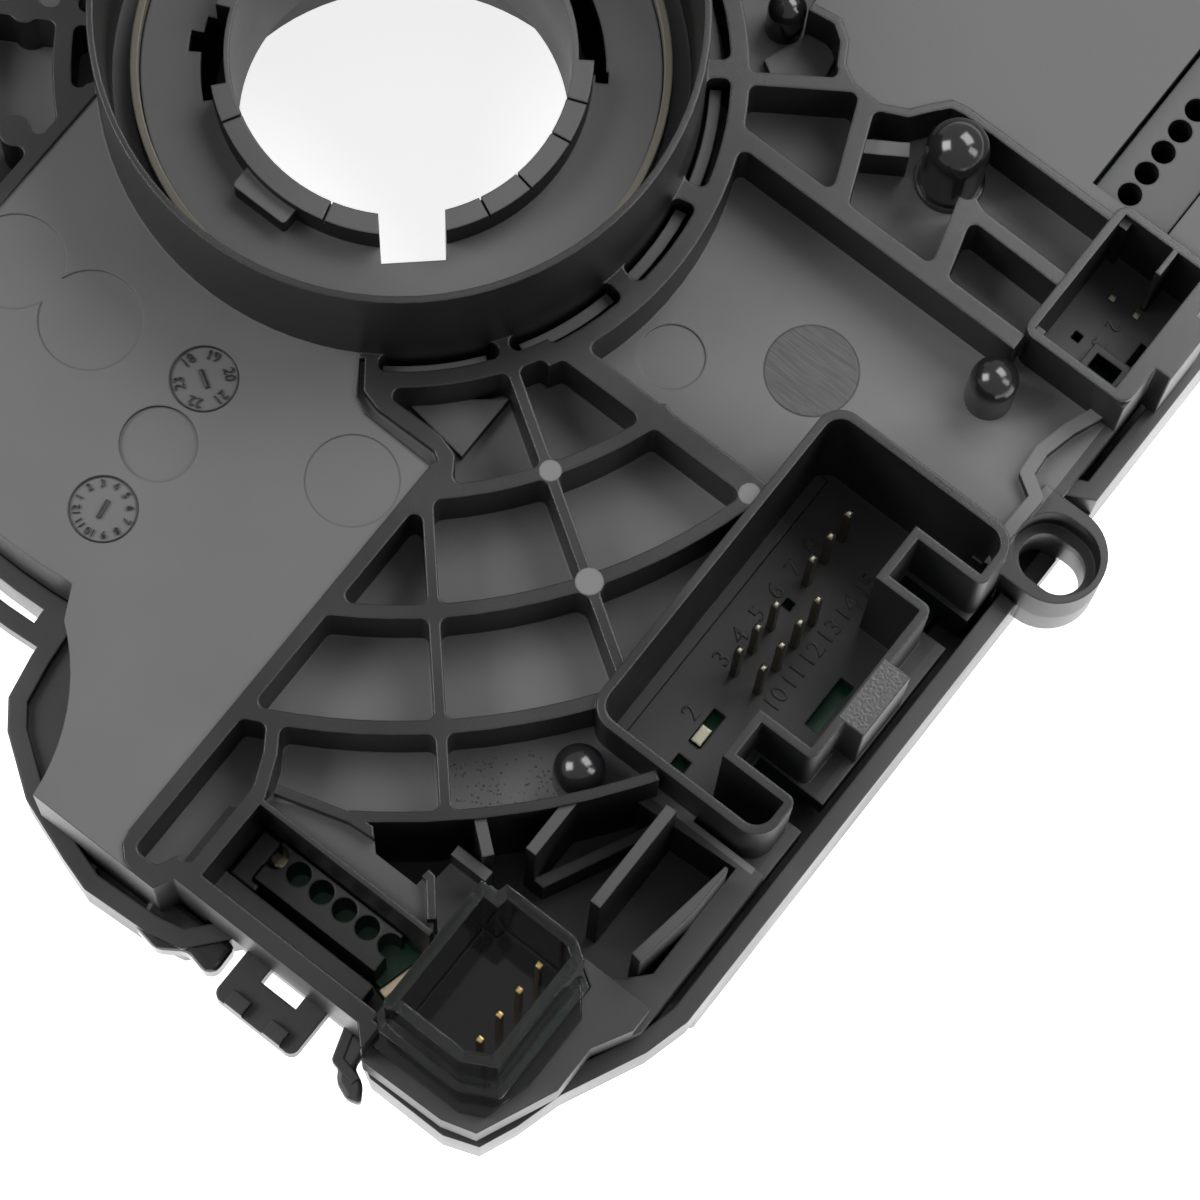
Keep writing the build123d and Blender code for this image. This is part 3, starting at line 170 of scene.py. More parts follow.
world = bpy.data.worlds.new("studio")
bpy.context.scene.world = world
world.use_nodes = True
tree = world.node_tree
tree.nodes.clear()
dim = tree.nodes.new("ShaderNodeBackground")
dim.inputs["Color"].default_value = WHITE
dim.inputs["Strength"].default_value = WORLD_LIGHT
bright = tree.nodes.new("ShaderNodeBackground")
bright.inputs["Color"].default_value = WHITE
rays = tree.nodes.new("ShaderNodeLightPath")
pick = tree.nodes.new("ShaderNodeMixShader")
world_output = tree.nodes.new("ShaderNodeOutputWorld")
tree.links.new(rays.outputs["Is Camera Ray"], pick.inputs[0])
tree.links.new(dim.outputs[0], pick.inputs[1])
tree.links.new(bright.outputs[0], pick.inputs[2])
tree.links.new(pick.outputs[0], world_output.inputs["Surface"])
print("world light:", WORLD_LIGHT)

# %% [markdown]
# Moulded plastic is never perfectly even. A fine grain breaks up its sheen, slow waves in the skin
# come from cooling, and every edge is a little round and catches light.
# A painted picture could hold all this, but noise needs no picture and fits every piece at its real size.
# All three go into one node group, which each plastic then uses with its own amounts.

# %% Group for moulded skin
SKIN_AMOUNTS = {
    "Grain Size": 9000.0,
    "Grain Height": 0.01 * MM,
    "Wave Height": 0.02 * MM,
    "Edge Radius": 0.25 * MM,
    "Gloss Low": 0.4,
    "Gloss High": 0.5,
}
SKIN_RESULTS = {"Colour": "NodeSocketColor", "Roughness": "NodeSocketFloat", "Normal": "NodeSocketVector"}
WAVE_SIZE = 90.0
WAVE_SPREAD = (0.3, 0.7)
WAVE_TINT = 0.35
ROUNDING_SAMPLES = 4


def add_socket(group, name, side, kind, value=None):
    """A named input or output on a node group."""
    socket = group.interface.new_socket(name=name, in_out=side, socket_type=kind)
    if value is not None:
        socket.default_value = value
    return socket


def noise_node(tree, place, detail):
    """A noise in the part's own coordinates."""
    noise = tree.nodes.new("ShaderNodeTexNoise")
    noise.inputs["Detail"].default_value = detail
    tree.links.new(place, noise.inputs["Vector"])
    return noise


def bump_node(tree, distance, height, normal):
    """A bump on top of another normal."""
    bump = tree.nodes.new("ShaderNodeBump")
    tree.links.new(distance, bump.inputs["Distance"])
    tree.links.new(height, bump.inputs["Height"])
    tree.links.new(normal, bump.inputs["Normal"])
    return bump.outputs["Normal"]


skin = bpy.data.node_groups.new("moulded_skin", "ShaderNodeTree")
for name, value in SKIN_AMOUNTS.items():
    add_socket(skin, name, "INPUT", "NodeSocketFloat", value)
add_socket(skin, "Colour", "INPUT", "NodeSocketColor", (0.04, 0.04, 0.04, 1))
for name, kind in SKIN_RESULTS.items():
    add_socket(skin, name, "OUTPUT", kind)
link = skin.links.new
enter = skin.nodes.new("NodeGroupInput")
leave = skin.nodes.new("NodeGroupOutput")
place = skin.nodes.new("ShaderNodeTexCoord").outputs["Object"]
grain = noise_node(skin, place, 2.0)
link(enter.outputs["Grain Size"], grain.inputs["Scale"])
wave = noise_node(skin, place, 3.0)
wave.inputs["Scale"].default_value = WAVE_SIZE
rounding = skin.nodes.new("ShaderNodeBevel")
rounding.samples = ROUNDING_SAMPLES
link(enter.outputs["Edge Radius"], rounding.inputs["Radius"])
waved = bump_node(skin, enter.outputs["Wave Height"], wave.outputs["Fac"], rounding.outputs["Normal"])
grained = bump_node(skin, enter.outputs["Grain Height"], grain.outputs["Fac"], waved)
link(grained, leave.inputs["Normal"])
spread = skin.nodes.new("ShaderNodeMapRange")
link(wave.outputs["Fac"], spread.inputs["Value"])
spread.inputs["From Min"].default_value, spread.inputs["From Max"].default_value = WAVE_SPREAD
link(enter.outputs["Gloss Low"], spread.inputs["To Min"])
link(enter.outputs["Gloss High"], spread.inputs["To Max"])
link(spread.outputs["Result"], leave.inputs["Roughness"])
tint = skin.nodes.new("ShaderNodeMix")
tint.data_type = "RGBA"
tint.blend_type = "MULTIPLY"
tint.inputs["Factor"].default_value = WAVE_TINT
link(enter.outputs["Colour"], tint.inputs["A"])
link(wave.outputs["Fac"], tint.inputs["B"])
link(tint.outputs["Result"], leave.inputs["Colour"])
print("skin group:", len(skin.nodes), "nodes")

# %% [markdown]
# A mould is not polished all over. Floors and fields are textured and look grey, and the tops of the ribs are
# smoother and darker. The walls are smoother too, and their near-black grey is painted shade that keeps them
# as dark as unlit walls while the lamps light the floors.
# Each face could get a material of its own, but then the mesh would have to be cut up. So a second group
# tells the faces apart by where they look and how high they lie. It also marks the corner beyond the
# outermost arc rib and the ear beside it, which are darker than the fields. Two height masks carry painted
# light and shade: pocket floors get a lighter grey that lifts them out of their shadows, and the deepest
# floors a near-black grey for the shade in the recesses.

# %% Group for kinds of face
LEVEL_LOOKS = (0.75, 0.95)
# Floors below this height get a lighter grey, which is painted light that lifts them out of their shadows.
PAINTED_LIGHT_BELOW = -3.0 * MM
# Floors below this height get a darker grey, which is painted shade in the recesses.
PAINTED_SHADE_BELOW = -6.8 * MM
CORNER_LEFT = 28.0 * MM
CORNER_TOP = -36.0 * MM
OUTER_ARC = 64.6 * MM
EAR_LEFT = 65.5 * MM

faces = bpy.data.node_groups.new("kinds_of_face", "ShaderNodeTree")
add_socket(faces, "Polished Above", "INPUT", "NodeSocketFloat", -0.1 * MM)
for name in ("Level", "Polished", "Pocket Painted Light", "Deep", "Corner"):
    add_socket(faces, name, "OUTPUT", "NodeSocketFloat")
link = faces.links.new
enter = faces.nodes.new("NodeGroupInput")
leave = faces.nodes.new("NodeGroupOutput")
surface = faces.nodes.new("ShaderNodeNewGeometry")
looks = faces.nodes.new("ShaderNodeSeparateXYZ")
link(surface.outputs["True Normal"], looks.inputs[0])
level = faces.nodes.new("ShaderNodeMapRange")
level.inputs["From Min"].default_value, level.inputs["From Max"].default_value = LEVEL_LOOKS
link(looks.outputs["Z"], level.inputs["Value"])
place = faces.nodes.new("ShaderNodeTexCoord")
axes = faces.nodes.new("ShaderNodeSeparateXYZ")
link(place.outputs["Object"], axes.inputs[0])
x, y, z = axes.outputs
high = math_node(faces, "GREATER_THAN", z, enter.outputs["Polished Above"])
right_of = math_node(faces, "GREATER_THAN", x, CORNER_LEFT)
under = math_node(faces, "LESS_THAN", y, CORNER_TOP)
reach = math_node(faces, "ADD", math_node(faces, "MULTIPLY", x, x), math_node(faces, "MULTIPLY", y, y))
beyond = math_node(faces, "GREATER_THAN", reach, OUTER_ARC ** 2)
corner = math_node(faces, "MULTIPLY", math_node(faces, "MULTIPLY", right_of, under), beyond)
ear = math_node(faces, "GREATER_THAN", x, EAR_LEFT)
link(level.outputs["Result"], leave.inputs["Level"])
link(math_node(faces, "MULTIPLY", high, level.outputs["Result"]), leave.inputs["Polished"])
link(math_node(faces, "LESS_THAN", z, PAINTED_LIGHT_BELOW), leave.inputs["Pocket Painted Light"])
link(math_node(faces, "LESS_THAN", z, PAINTED_SHADE_BELOW), leave.inputs["Deep"])
link(math_node(faces, "MAXIMUM", corner, ear), leave.inputs["Corner"])
print("face group:", len(faces.nodes), "nodes")

# %% [markdown]
# The plain finishes differ only in colour, roughness and grain, so a table holds them, one row for each.
# Each places the skin group in its own Principled shader. Constants such as IOR and metal stay on the
# shader's own sockets, because an exporter can read them only there.
# Grain, wave and edge are in millimetres, and gloss is the range of roughness.

# %% Plain finishes
METAL = {"Metallic": 1.0}
PLAIN = {
    "gloss_black": {"colour": (0.010, 0.010, 0.011), "gloss": (0.10, 0.18), "grain": 0.002, "wave": 0.004},
    "chip_black": {"colour": (0.02, 0.02, 0.02), "gloss": (0.4, 0.55)},
    "mark_black": {"colour": (0.006, 0.006, 0.006), "gloss": (0.30, 0.40)},
    "latch_grain": {"colour": (0.035, 0.035, 0.036), "gloss": (0.30, 0.42), "grain": 0.02, "edge": 0.1},
    "ejector_matt": {"colour": (0.105, 0.105, 0.107), "gloss": (0.62, 0.72)},
    "board_green": {"colour": (0.03, 0.22, 0.10), "gloss": (0.25, 0.35), "grain": 0.003},
    "cream_slide": {"colour": (0.09, 0.08, 0.06), "gloss": (0.35, 0.45)},
    "yellow_plastic": {"colour": (0.8, 0.6, 0.06), "gloss": (0.35, 0.45)},
    "gear_white": {"colour": (0.75, 0.75, 0.72), "gloss": (0.35, 0.45)},
    "cable_film": {"colour": (0.5, 0.3, 0.1), "gloss": (0.2, 0.3)},
    "tinned_pin": {"colour": (0.42, 0.4, 0.31), "gloss": (0.28, 0.4), "grain": 0.002, "wave": 0.006, **METAL},
    "gold_pin": {"colour": (0.85, 0.62, 0.27), "gloss": (0.15, 0.25), "grain": 0.001, "wave": 0.004, **METAL},
    "gilded_pad": {"colour": (0.8, 0.66, 0.48), "gloss": (0.18, 0.3), "grain": 0.002, "wave": 0.01, **METAL},
    "magnet_grey": {"colour": (0.12, 0.12, 0.13), "gloss": (0.3, 0.4), **METAL},
}


def make_plastic(name, colour, gloss, grain=0.01, wave=0.02, edge=0.25, **constants):
    """A moulded plastic from the shared skin group."""
    material, tree, output = new_material(name)
    shader = tree.nodes.new("ShaderNodeBsdfPrincipled")
    group = tree.nodes.new("ShaderNodeGroup")
    group.node_tree = skin
    group.name = "skin"
    group.inputs["Colour"].default_value = (*colour, 1)
    group.inputs["Gloss Low"].default_value, group.inputs["Gloss High"].default_value = gloss
    group.inputs["Grain Height"].default_value = grain * MM
    group.inputs["Wave Height"].default_value = wave * MM
    group.inputs["Edge Radius"].default_value = edge * MM
    tree.links.new(group.outputs["Colour"], shader.inputs["Base Color"])
    tree.links.new(group.outputs["Roughness"], shader.inputs["Roughness"])
    tree.links.new(group.outputs["Normal"], shader.inputs["Normal"])
    for socket, value in constants.items():
        shader.inputs[socket.replace("_", " ")].default_value = value
    tree.links.new(shader.outputs[0], output.inputs["Surface"])
    return material


FINISHES = {name: make_plastic(name, **amounts) for name, amounts in PLAIN.items()}
print("plain finishes:", len(FINISHES))

# %% [markdown]
# The cover, the housing's rim, the guide blocks and the rotor are all black, yet no two look alike in the
# photograph: the rim and the guides are darker, the rotor is more even. One maker gives each kind of face its
# grey and its roughness, and mixes them by the masks of the second group.

# %% Black mouldings
# In each row the walls' grey is painted shade, which keeps them dark under the fill lamps.
BLACKS = {
    "black_housing": {
        "polished_above": -0.1, "walls_painted_shade": (0.007, 0.40), "fields": (0.066, 0.60), "tops": (0.014, 0.24),
        # The pockets' lighter grey is painted light.
        "pockets_painted_light": (0.090, 0.60), "deep_painted_shade": (0.008, 0.50),
    },
    "rim_black": {
        "polished_above": -0.1, "walls_painted_shade": (0.006, 0.30), "fields": (0.024, 0.40), "tops": (0.012, 0.24),
    },
    "guide_black": {
        "polished_above": 1.0, "walls_painted_shade": (0.008, 0.42), "fields": (0.040, 0.50), "tops": (0.028, 0.40),
    },
    "rotor_black": {
        "polished_above": 2.0, "walls_painted_shade": (0.010, 0.50), "fields": (0.060, 0.50), "tops": (0.040, 0.40),
        # The deep floors' grey, here and in the first row, is painted shade in the recesses.
        "deep_painted_shade": (0.030, 0.50),
    },
}
CORNER_GREY = (0.022, 0.022, 0.0222, 1)
COOLER = 1.01
GLOSS_SPREAD = 0.05


def mix_pair(tree, kind, mask, low, high):
    """Mix two colours or two numbers by a mask, where either may be a socket or a value."""
    mix = tree.nodes.new("ShaderNodeMix")
    mix.data_type = kind
    tree.links.new(mask, mix.inputs["Factor"])
    ends = [socket for socket in mix.inputs if socket.enabled and socket.name in ("A", "B")]
    for socket, value in zip(ends, (low, high)):
        if isinstance(value, bpy.types.NodeSocket):
            tree.links.new(value, socket)
        else:
            socket.default_value = value
    return next(socket for socket in mix.outputs if socket.enabled)


def make_black(name, polished_above, walls_painted_shade, fields, tops, pockets_painted_light=None, deep_painted_shade=None):
    """A black moulding whose kinds of face differ, each given as a grey and a roughness."""
    amounts = (walls_painted_shade, fields, tops, pockets_painted_light or fields, deep_painted_shade or fields)
    material = make_plastic(name, (0.02, 0.02, 0.02), (0.3, 0.4))
    tree = material.node_tree
    group = tree.nodes["skin"]
    kind = tree.nodes.new("ShaderNodeGroup")
    kind.node_tree = faces
    kind.inputs["Polished Above"].default_value = polished_above * MM

    def by_kind(data, values, corner=None):
        """One value for each kind of face, chosen by the group's masks."""
        wall_painted_shade, field, top, pocket_painted_light, deep_floor_painted_shade = values
        # Pocket floors take a lighter grey, which is painted light.
        flat = mix_pair(tree, data, kind.outputs["Pocket Painted Light"], field, pocket_painted_light)
        # The deepest floors take a darker grey, which is painted shade.
        flat = mix_pair(tree, data, kind.outputs["Deep"], flat, deep_floor_painted_shade)
        if corner is not None:
            flat = mix_pair(tree, data, kind.outputs["Corner"], flat, corner)
        # Faces that don't look up take the walls' grey, which is painted shade.
        unpolished = mix_pair(tree, data, kind.outputs["Level"], wall_painted_shade, flat)
        return mix_pair(tree, data, kind.outputs["Polished"], unpolished, top)

    greys = [(grey, grey, grey * COOLER, 1) for grey, roughness in amounts]
    tree.links.new(by_kind("RGBA", greys, CORNER_GREY), group.inputs["Colour"])
    for socket, shift in (("Gloss Low", -GLOSS_SPREAD), ("Gloss High", GLOSS_SPREAD)):
        roughness = [rough + shift for grey, rough in amounts]
        tree.links.new(by_kind("FLOAT", roughness), group.inputs[socket])
    return material


FINISHES.update({name: make_black(name, **amounts) for name, amounts in BLACKS.items()})
print("black mouldings:", list(BLACKS))

# %% [markdown]
# The small connector is clear, but its cavity looks black in the photograph. Clear walls alone would let the
# white floor shine through, so the faces of the cavity take a dark colour.
# A box round the cavity's centre tells them from the outer faces.

# %% Clear connector
CLEAR = (0.70, 0.73, 0.74)
SOCKET_INSIDE = (0.010, 0.010, 0.011)
SOCKET_CENTRE = Vector((55.2, -58.15, 0.0)) * MM
SOCKET_REACH = Vector((4.4, 5.9, 7.9)) * MM


def make_clear(name, clear, inside, centre, reach):
    """A clear moulding whose cavity looks dark: faces within reach of its centre take the inside colour."""
    material = make_plastic(name, clear, (0.03, 0.08), 0.0, 0.01, Transmission_Weight=1.0, IOR=1.5)
    tree = material.node_tree
    place = tree.nodes.new("ShaderNodeTexCoord")
    away = tree.nodes.new("ShaderNodeVectorMath")
    away.operation = "SUBTRACT"
    away.inputs[1].default_value = centre
    tree.links.new(place.outputs["Object"], away.inputs[0])
    size = tree.nodes.new("ShaderNodeVectorMath")
    size.operation = "ABSOLUTE"
    tree.links.new(away.outputs[0], size.inputs[0])
    axes = tree.nodes.new("ShaderNodeSeparateXYZ")
    tree.links.new(size.outputs[0], axes.inputs[0])
    near = [math_node(tree, "LESS_THAN", axis, limit) for axis, limit in zip(axes.outputs, reach)]
    mask = math_node(tree, "MULTIPLY", math_node(tree, "MULTIPLY", near[0], near[1]), near[2])
    dark = mix_pair(tree, "RGBA", mask, (*clear, 1), (*inside, 1))
    tree.links.new(dark, tree.nodes["skin"].inputs["Colour"])
    return material


FINISHES["clear_plastic"] = make_clear("clear_plastic", CLEAR, SOCKET_INSIDE, SOCKET_CENTRE, SOCKET_REACH)
print("clear finish:", FINISHES["clear_plastic"].name)

# %% [markdown]
# Every solid takes the finish of its material slot, apart from the guide blocks and the front housing. Their
# slot is the cover's, and a finish of their own keeps them as dark as in the photograph.

# %% Finishes on the solids
OWN_FINISH = {"pin_guide_a": "guide_black", "pin_guide_b": "guide_black", "front_housing": "rim_black"}

for row in frame["record"]["subparts"]:
    mesh = nodes[row["node"]].data
    mesh.materials.clear()
    mesh.materials.append(FINISHES[OWN_FINISH.get(row["node"], row["material_slot"])])

# %% [markdown]
# The real part carries small marks from its mould: pin numbers beside each contact, date dials with an arrow,
# ejector marks, and a speckled patch. Each is too thin for the solids, so it is modelled here.
# Every new piece gets its place applied to its mesh and rides on the base body.
# From here on lengths are in millimetres, and a level is a height above the ribs' tops.

# %% Helpers for small pieces
PLATEAU_LEVEL = -0.25
POCKET_LEVEL = -6.4
MAIN_FLOOR_LEVEL = -16.0
SIDE_FLOOR_LEVEL = -9.0
SHELL_RIM_LEVEL = 0.8
BOARD_LEVEL = -13.4
SINK = 0.02
FACING = 0.9


def start_piece():
    """Deselect all, so that the next operator acts on the new piece alone."""
    bpy.ops.object.select_all(action="DESELECT")


def apply_place():
    """Write the selected piece's place, turn and scale into its mesh."""
    bpy.ops.object.transform_apply(location=True, rotation=True, scale=True)


def select_where(piece, kind, wanted):
    """In edit mode, select only the faces or edges that pass a test."""
    bpy.ops.mesh.select_all(action="DESELECT")
    shape = bmesh.from_edit_mesh(piece.data)
    for item in getattr(shape, kind):
        item.select = wanted(item)
    bmesh.update_edit_mesh(piece.data)


def faces_up(face):
    """Whether a face looks up."""
    return face.normal.z > FACING


def settle(piece, name, finish):
    """Apply a piece's place to its mesh, then give it a name, a finish and its body."""
    start_piece()
    piece.select_set(True)
    bpy.context.view_layer.objects.active = piece
    apply_place()
    piece.name = name
    piece.data.materials.clear()
    piece.data.materials.append(FINISHES[finish])
    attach(piece, "base")
    return piece


def join_pieces(pieces):
    """One object out of several."""
    start_piece()
    for piece in pieces:
        piece.select_set(True)
    bpy.context.view_layer.objects.active = pieces[0]
    bpy.ops.object.join()
    return pieces[0]


print("levels below the face:", PLATEAU_LEVEL, POCKET_LEVEL, SIDE_FLOOR_LEVEL, BOARD_LEVEL, MAIN_FLOOR_LEVEL)

# %% [markdown]
# The numbers stand beside the contacts, in the direction in which the plug goes in.
# They are raised on the real floor, so text is turned into a mesh with height, which catches light as a
# picture wouldn't. They follow the pin rows by the same pitch as the solids, so a loop sets each column.

# %% Pin numbers
MARK_HEIGHT = 0.12
LETTER_STEPS = 3
MERGE_WITHIN = 0.001
PIN_PITCH = 2.54
NUMBER_SIZE = 2.3
LEFT_COLUMN_X = 51.35
RIGHT_COLUMN_X = 57.2
FIRST_NUMBER_Y = -20.7
BLADE_NUMBER_AT = (52.2, -26.1)
BESIDE_ROW = 90.0
SIDE_NUMBER_SIZE = 1.9
SIDE_NUMBER_X = 60.5
SIDE_NUMBER_Y = 21.9
SIDE_PITCH = 2.1


def numeral(words, x, y, level, size, turn, height=MARK_HEIGHT):
    """A raised number: text made a mesh at the origin, then turned and put in its place."""
    start_piece()
    bpy.ops.object.text_add(location=(0, 0, 0))
    text = bpy.context.object
    text.data.body = words
    text.data.size = size * MM
    text.data.extrude = (height + SINK) / 2 * MM
    text.data.align_x = "CENTER"
    text.data.align_y = "CENTER"
    text.data.resolution_u = LETTER_STEPS
    bpy.ops.object.convert(target="MESH")
    piece = bpy.context.object
    bpy.ops.object.mode_set(mode="EDIT")
    bpy.ops.mesh.select_all(action="SELECT")
    bpy.ops.mesh.remove_doubles(threshold=MERGE_WITHIN * MM)
    bpy.ops.mesh.normals_make_consistent(inside=False)
    bpy.ops.object.mode_set(mode="OBJECT")
    piece.location = (x * MM, y * MM, (level + (height - SINK) / 2) * MM)
    piece.rotation_euler = (0, 0, radians(turn))
    apply_place()
    return piece


numbers = [numeral("2", *BLADE_NUMBER_AT, MAIN_FLOOR_LEVEL, NUMBER_SIZE, BESIDE_ROW)]
for k in range(6):
    y = FIRST_NUMBER_Y + PIN_PITCH * k
    numbers.append(numeral(str(3 + k), LEFT_COLUMN_X, y, MAIN_FLOOR_LEVEL, NUMBER_SIZE, BESIDE_ROW))
    numbers.append(numeral(str(10 + k), RIGHT_COLUMN_X, y, MAIN_FLOOR_LEVEL, NUMBER_SIZE, BESIDE_ROW))
settle(join_pieces(numbers), "main_numbers", "mark_black")
side_numbers = []
for k in range(2):
    y = SIDE_NUMBER_Y - SIDE_PITCH * k
    words = str(2 + k)
    side_numbers.append(numeral(words, SIDE_NUMBER_X, y, SIDE_FLOOR_LEVEL, SIDE_NUMBER_SIZE, -BESIDE_ROW))
settle(join_pieces(side_numbers), "side_numbers", "mark_black")
print("pin numbers:", len(numbers) + len(side_numbers))

# %% [markdown]
# A date dial is a small insert in the mould. Its arrow is turned to the month or the year.
# The numbers stand round a circle, each turned to face outwards, and the arrow is a bar whose end is
# extruded and widened into a head. A thin ring, half sunk in the field, goes round them.

# %% Date dials
DIAL_R = 2.85
DIAL_LINE = 0.09
DIAL_LINE_STEPS = (72, 6)
DIAL_MARK_HEIGHT = 0.08
DIAL_INSIDE = 0.3
HALF_LETTER = 0.38
ARROW = (1.7, 0.36, 0.2)
HEAD_LENGTH = 0.75
HEAD_WIDER = 3.6
HEAD_TIP = 0.05
FIRST_STEP = 0.0001


def dial_line(x, y, radius):
    """A thin raised ring with a round section, half sunk in the field."""
    start_piece()
    around, across = DIAL_LINE_STEPS
    bpy.ops.mesh.primitive_torus_add(
        major_radius=radius * MM, minor_radius=DIAL_LINE * MM, major_segments=around, minor_segments=across,
        location=(x * MM, y * MM, PLATEAU_LEVEL * MM),
    )
    return bpy.context.object


def dial_arrow(x, y, turn):
    """An arrow: a flat bar with one end drawn out into a point."""
    start_piece()
    bpy.ops.mesh.primitive_cube_add(size=1.0, location=(0, 0, 0))
    arrow = bpy.context.object
    arrow.scale = [length * MM for length in ARROW]
    apply_place()
    bar_end = ARROW[0] / 2
    bpy.ops.object.mode_set(mode="EDIT")
    select_where(arrow, "faces", lambda face: face.normal.x > FACING)
    bpy.ops.mesh.extrude_region_move(TRANSFORM_OT_translate={"value": (FIRST_STEP * MM, 0, 0)})
    bpy.ops.transform.resize(value=(1, HEAD_WIDER, 1), center_override=(bar_end * MM, 0, 0))
    bpy.ops.mesh.extrude_region_move(TRANSFORM_OT_translate={"value": (HEAD_LENGTH * MM, 0, 0)})
    bpy.ops.transform.resize(value=(1, HEAD_TIP, 1), center_override=((bar_end + HEAD_LENGTH) * MM, 0, 0))
    bpy.ops.object.mode_set(mode="OBJECT")
    arrow.location = (x * MM, y * MM, PLATEAU_LEVEL * MM)
    arrow.rotation_euler = (0, 0, radians(turn))
    return arrow


def date_dial(name, x, y, labels, first_angle, size, arrow_turn):
    """A dial with its numbers clockwise from a first angle."""
    step = 360 / len(labels)
    pieces = [dial_line(x, y, DIAL_R), dial_arrow(x, y, arrow_turn)]
    reach = DIAL_R - DIAL_INSIDE - size * HALF_LETTER
    for k, label in enumerate(labels):
        angle = first_angle - step * k
        at_x = x + reach * cos(radians(angle))
        at_y = y + reach * sin(radians(angle))
        pieces.append(numeral(label, at_x, at_y, PLATEAU_LEVEL, size, angle - 90, DIAL_MARK_HEIGHT))
    return settle(join_pieces(pieces), name, "mark_black")


years = [str(year) for year in range(18, 24)]
months = [str(month) for month in range(1, 13)]
date_dial("year_dial", 4.5, -32.1, years, first_angle=169.0, size=1.25, arrow_turn=150.0)
date_dial("month_dial", 5.1, -46.0, months, first_angle=190.0, size=0.95, arrow_turn=100.0)
print("dials with", len(years), "and", len(months), "numbers")

# %% [markdown]
# One of the ejector marks has been ground, which leaves fine straight strokes. They are far too fine to
# model, so a noise stretched along one direction makes them lighter and darker.

# %% Ground finish
GROUND_GREY = (0.028, 0.028, 0.029)
STROKES_TURN = 25
STROKES_SIZE = (300, 6000, 300)
STROKES_SPREAD = (0.35, 0.65)
STROKES_SHADES = (0.7, 1.6)


def make_strokes(name, colour, gloss):
    """A finish with fine straight strokes, as grinding leaves them."""
    material = make_plastic(name, colour, gloss)
    tree = material.node_tree
    place = tree.nodes.new("ShaderNodeTexCoord")
    along = tree.nodes.new("ShaderNodeMapping")
    along.inputs["Rotation"].default_value = (0, 0, radians(STROKES_TURN))
    along.inputs["Scale"].default_value = STROKES_SIZE
    tree.links.new(place.outputs["Object"], along.inputs["Vector"])
    strokes = noise_node(tree, along.outputs["Vector"], 4.0)
    strokes.inputs["Scale"].default_value = 1.0
    shade = tree.nodes.new("ShaderNodeMapRange")
    shade.inputs["From Min"].default_value, shade.inputs["From Max"].default_value = STROKES_SPREAD
    tree.links.new(strokes.outputs["Fac"], shade.inputs["Value"])
    darker, lighter = [(colour[0] * share,) * 3 + (1,) for share in STROKES_SHADES]
    mixed = mix_pair(tree, "RGBA", shade.outputs["Result"], darker, lighter)
    tree.links.new(mixed, tree.nodes["skin"].inputs["Colour"])
    return material


FINISHES["ground_disc"] = make_strokes("ground_disc", GROUND_GREY, (0.35, 0.45))
print("finishes:", len(FINISHES))

# %% [markdown]
# Ejector pins leave flat round marks where they push the warm part out of its mould. On the ribs they are
# lighter discs, and in the field on the right one is ground and shows fine strokes.
# Each disc is a cylinder whose upper edge is bevelled, so that it catches a thin line of light.

# %% Ejector marks
DISC_SIDES = 64
DISC_BEVEL = 0.4
GROUND_DISC = (43.0, 1.8, 4.1)
GROUND_HEIGHT = 0.03
RIB_MARKS = ((32.1, -20.5, 0.95), (40.5, -26.0, 1.2), (46.3, -11.8, 0.95))
RIB_MARK_HEIGHT = 0.04
RIB_LEVEL = 0.0


def ejector_mark(x, y, radius, level, height):
    """A low round pad with a bevelled upper edge."""
    start_piece()
    bpy.ops.mesh.primitive_cylinder_add(
        vertices=DISC_SIDES, radius=radius * MM, depth=(height + SINK) * MM,
        location=(x * MM, y * MM, (level + (height - SINK) / 2) * MM),
    )
    pad = bpy.context.object
    apply_place()
    bpy.ops.object.mode_set(mode="EDIT")
    select_where(pad, "faces", faces_up)
    bpy.ops.mesh.bevel(offset=height * DISC_BEVEL * MM, segments=2, affect="EDGES")
    bpy.ops.object.mode_set(mode="OBJECT")
    return pad


settle(ejector_mark(*GROUND_DISC, POCKET_LEVEL, GROUND_HEIGHT), "ground_disc", "ground_disc")
rib_marks = [ejector_mark(*mark, RIB_LEVEL, RIB_MARK_HEIGHT) for mark in RIB_MARKS]
settle(join_pieces(rib_marks), "rib_marks", "ejector_matt")
print("ejector marks:", 1 + len(rib_marks))

# %% [markdown]
# The latch pad of the main connector has a spark-eroded top that glitters. A thin skin on the pad, subdivided
# and displaced by noise, gives it real grains, because bump alone looks flat at its edges.

# %% Latch skin
LATCH_BOX = (63.7, -22.5, 66.2, -16.3)
LATCH_STEPS = (30, 72)
LATCH_ABOVE = 0.03
LATCH_THICK = 0.1
SPARK_SIZE = 0.22
SPARK_HEIGHT = 0.06


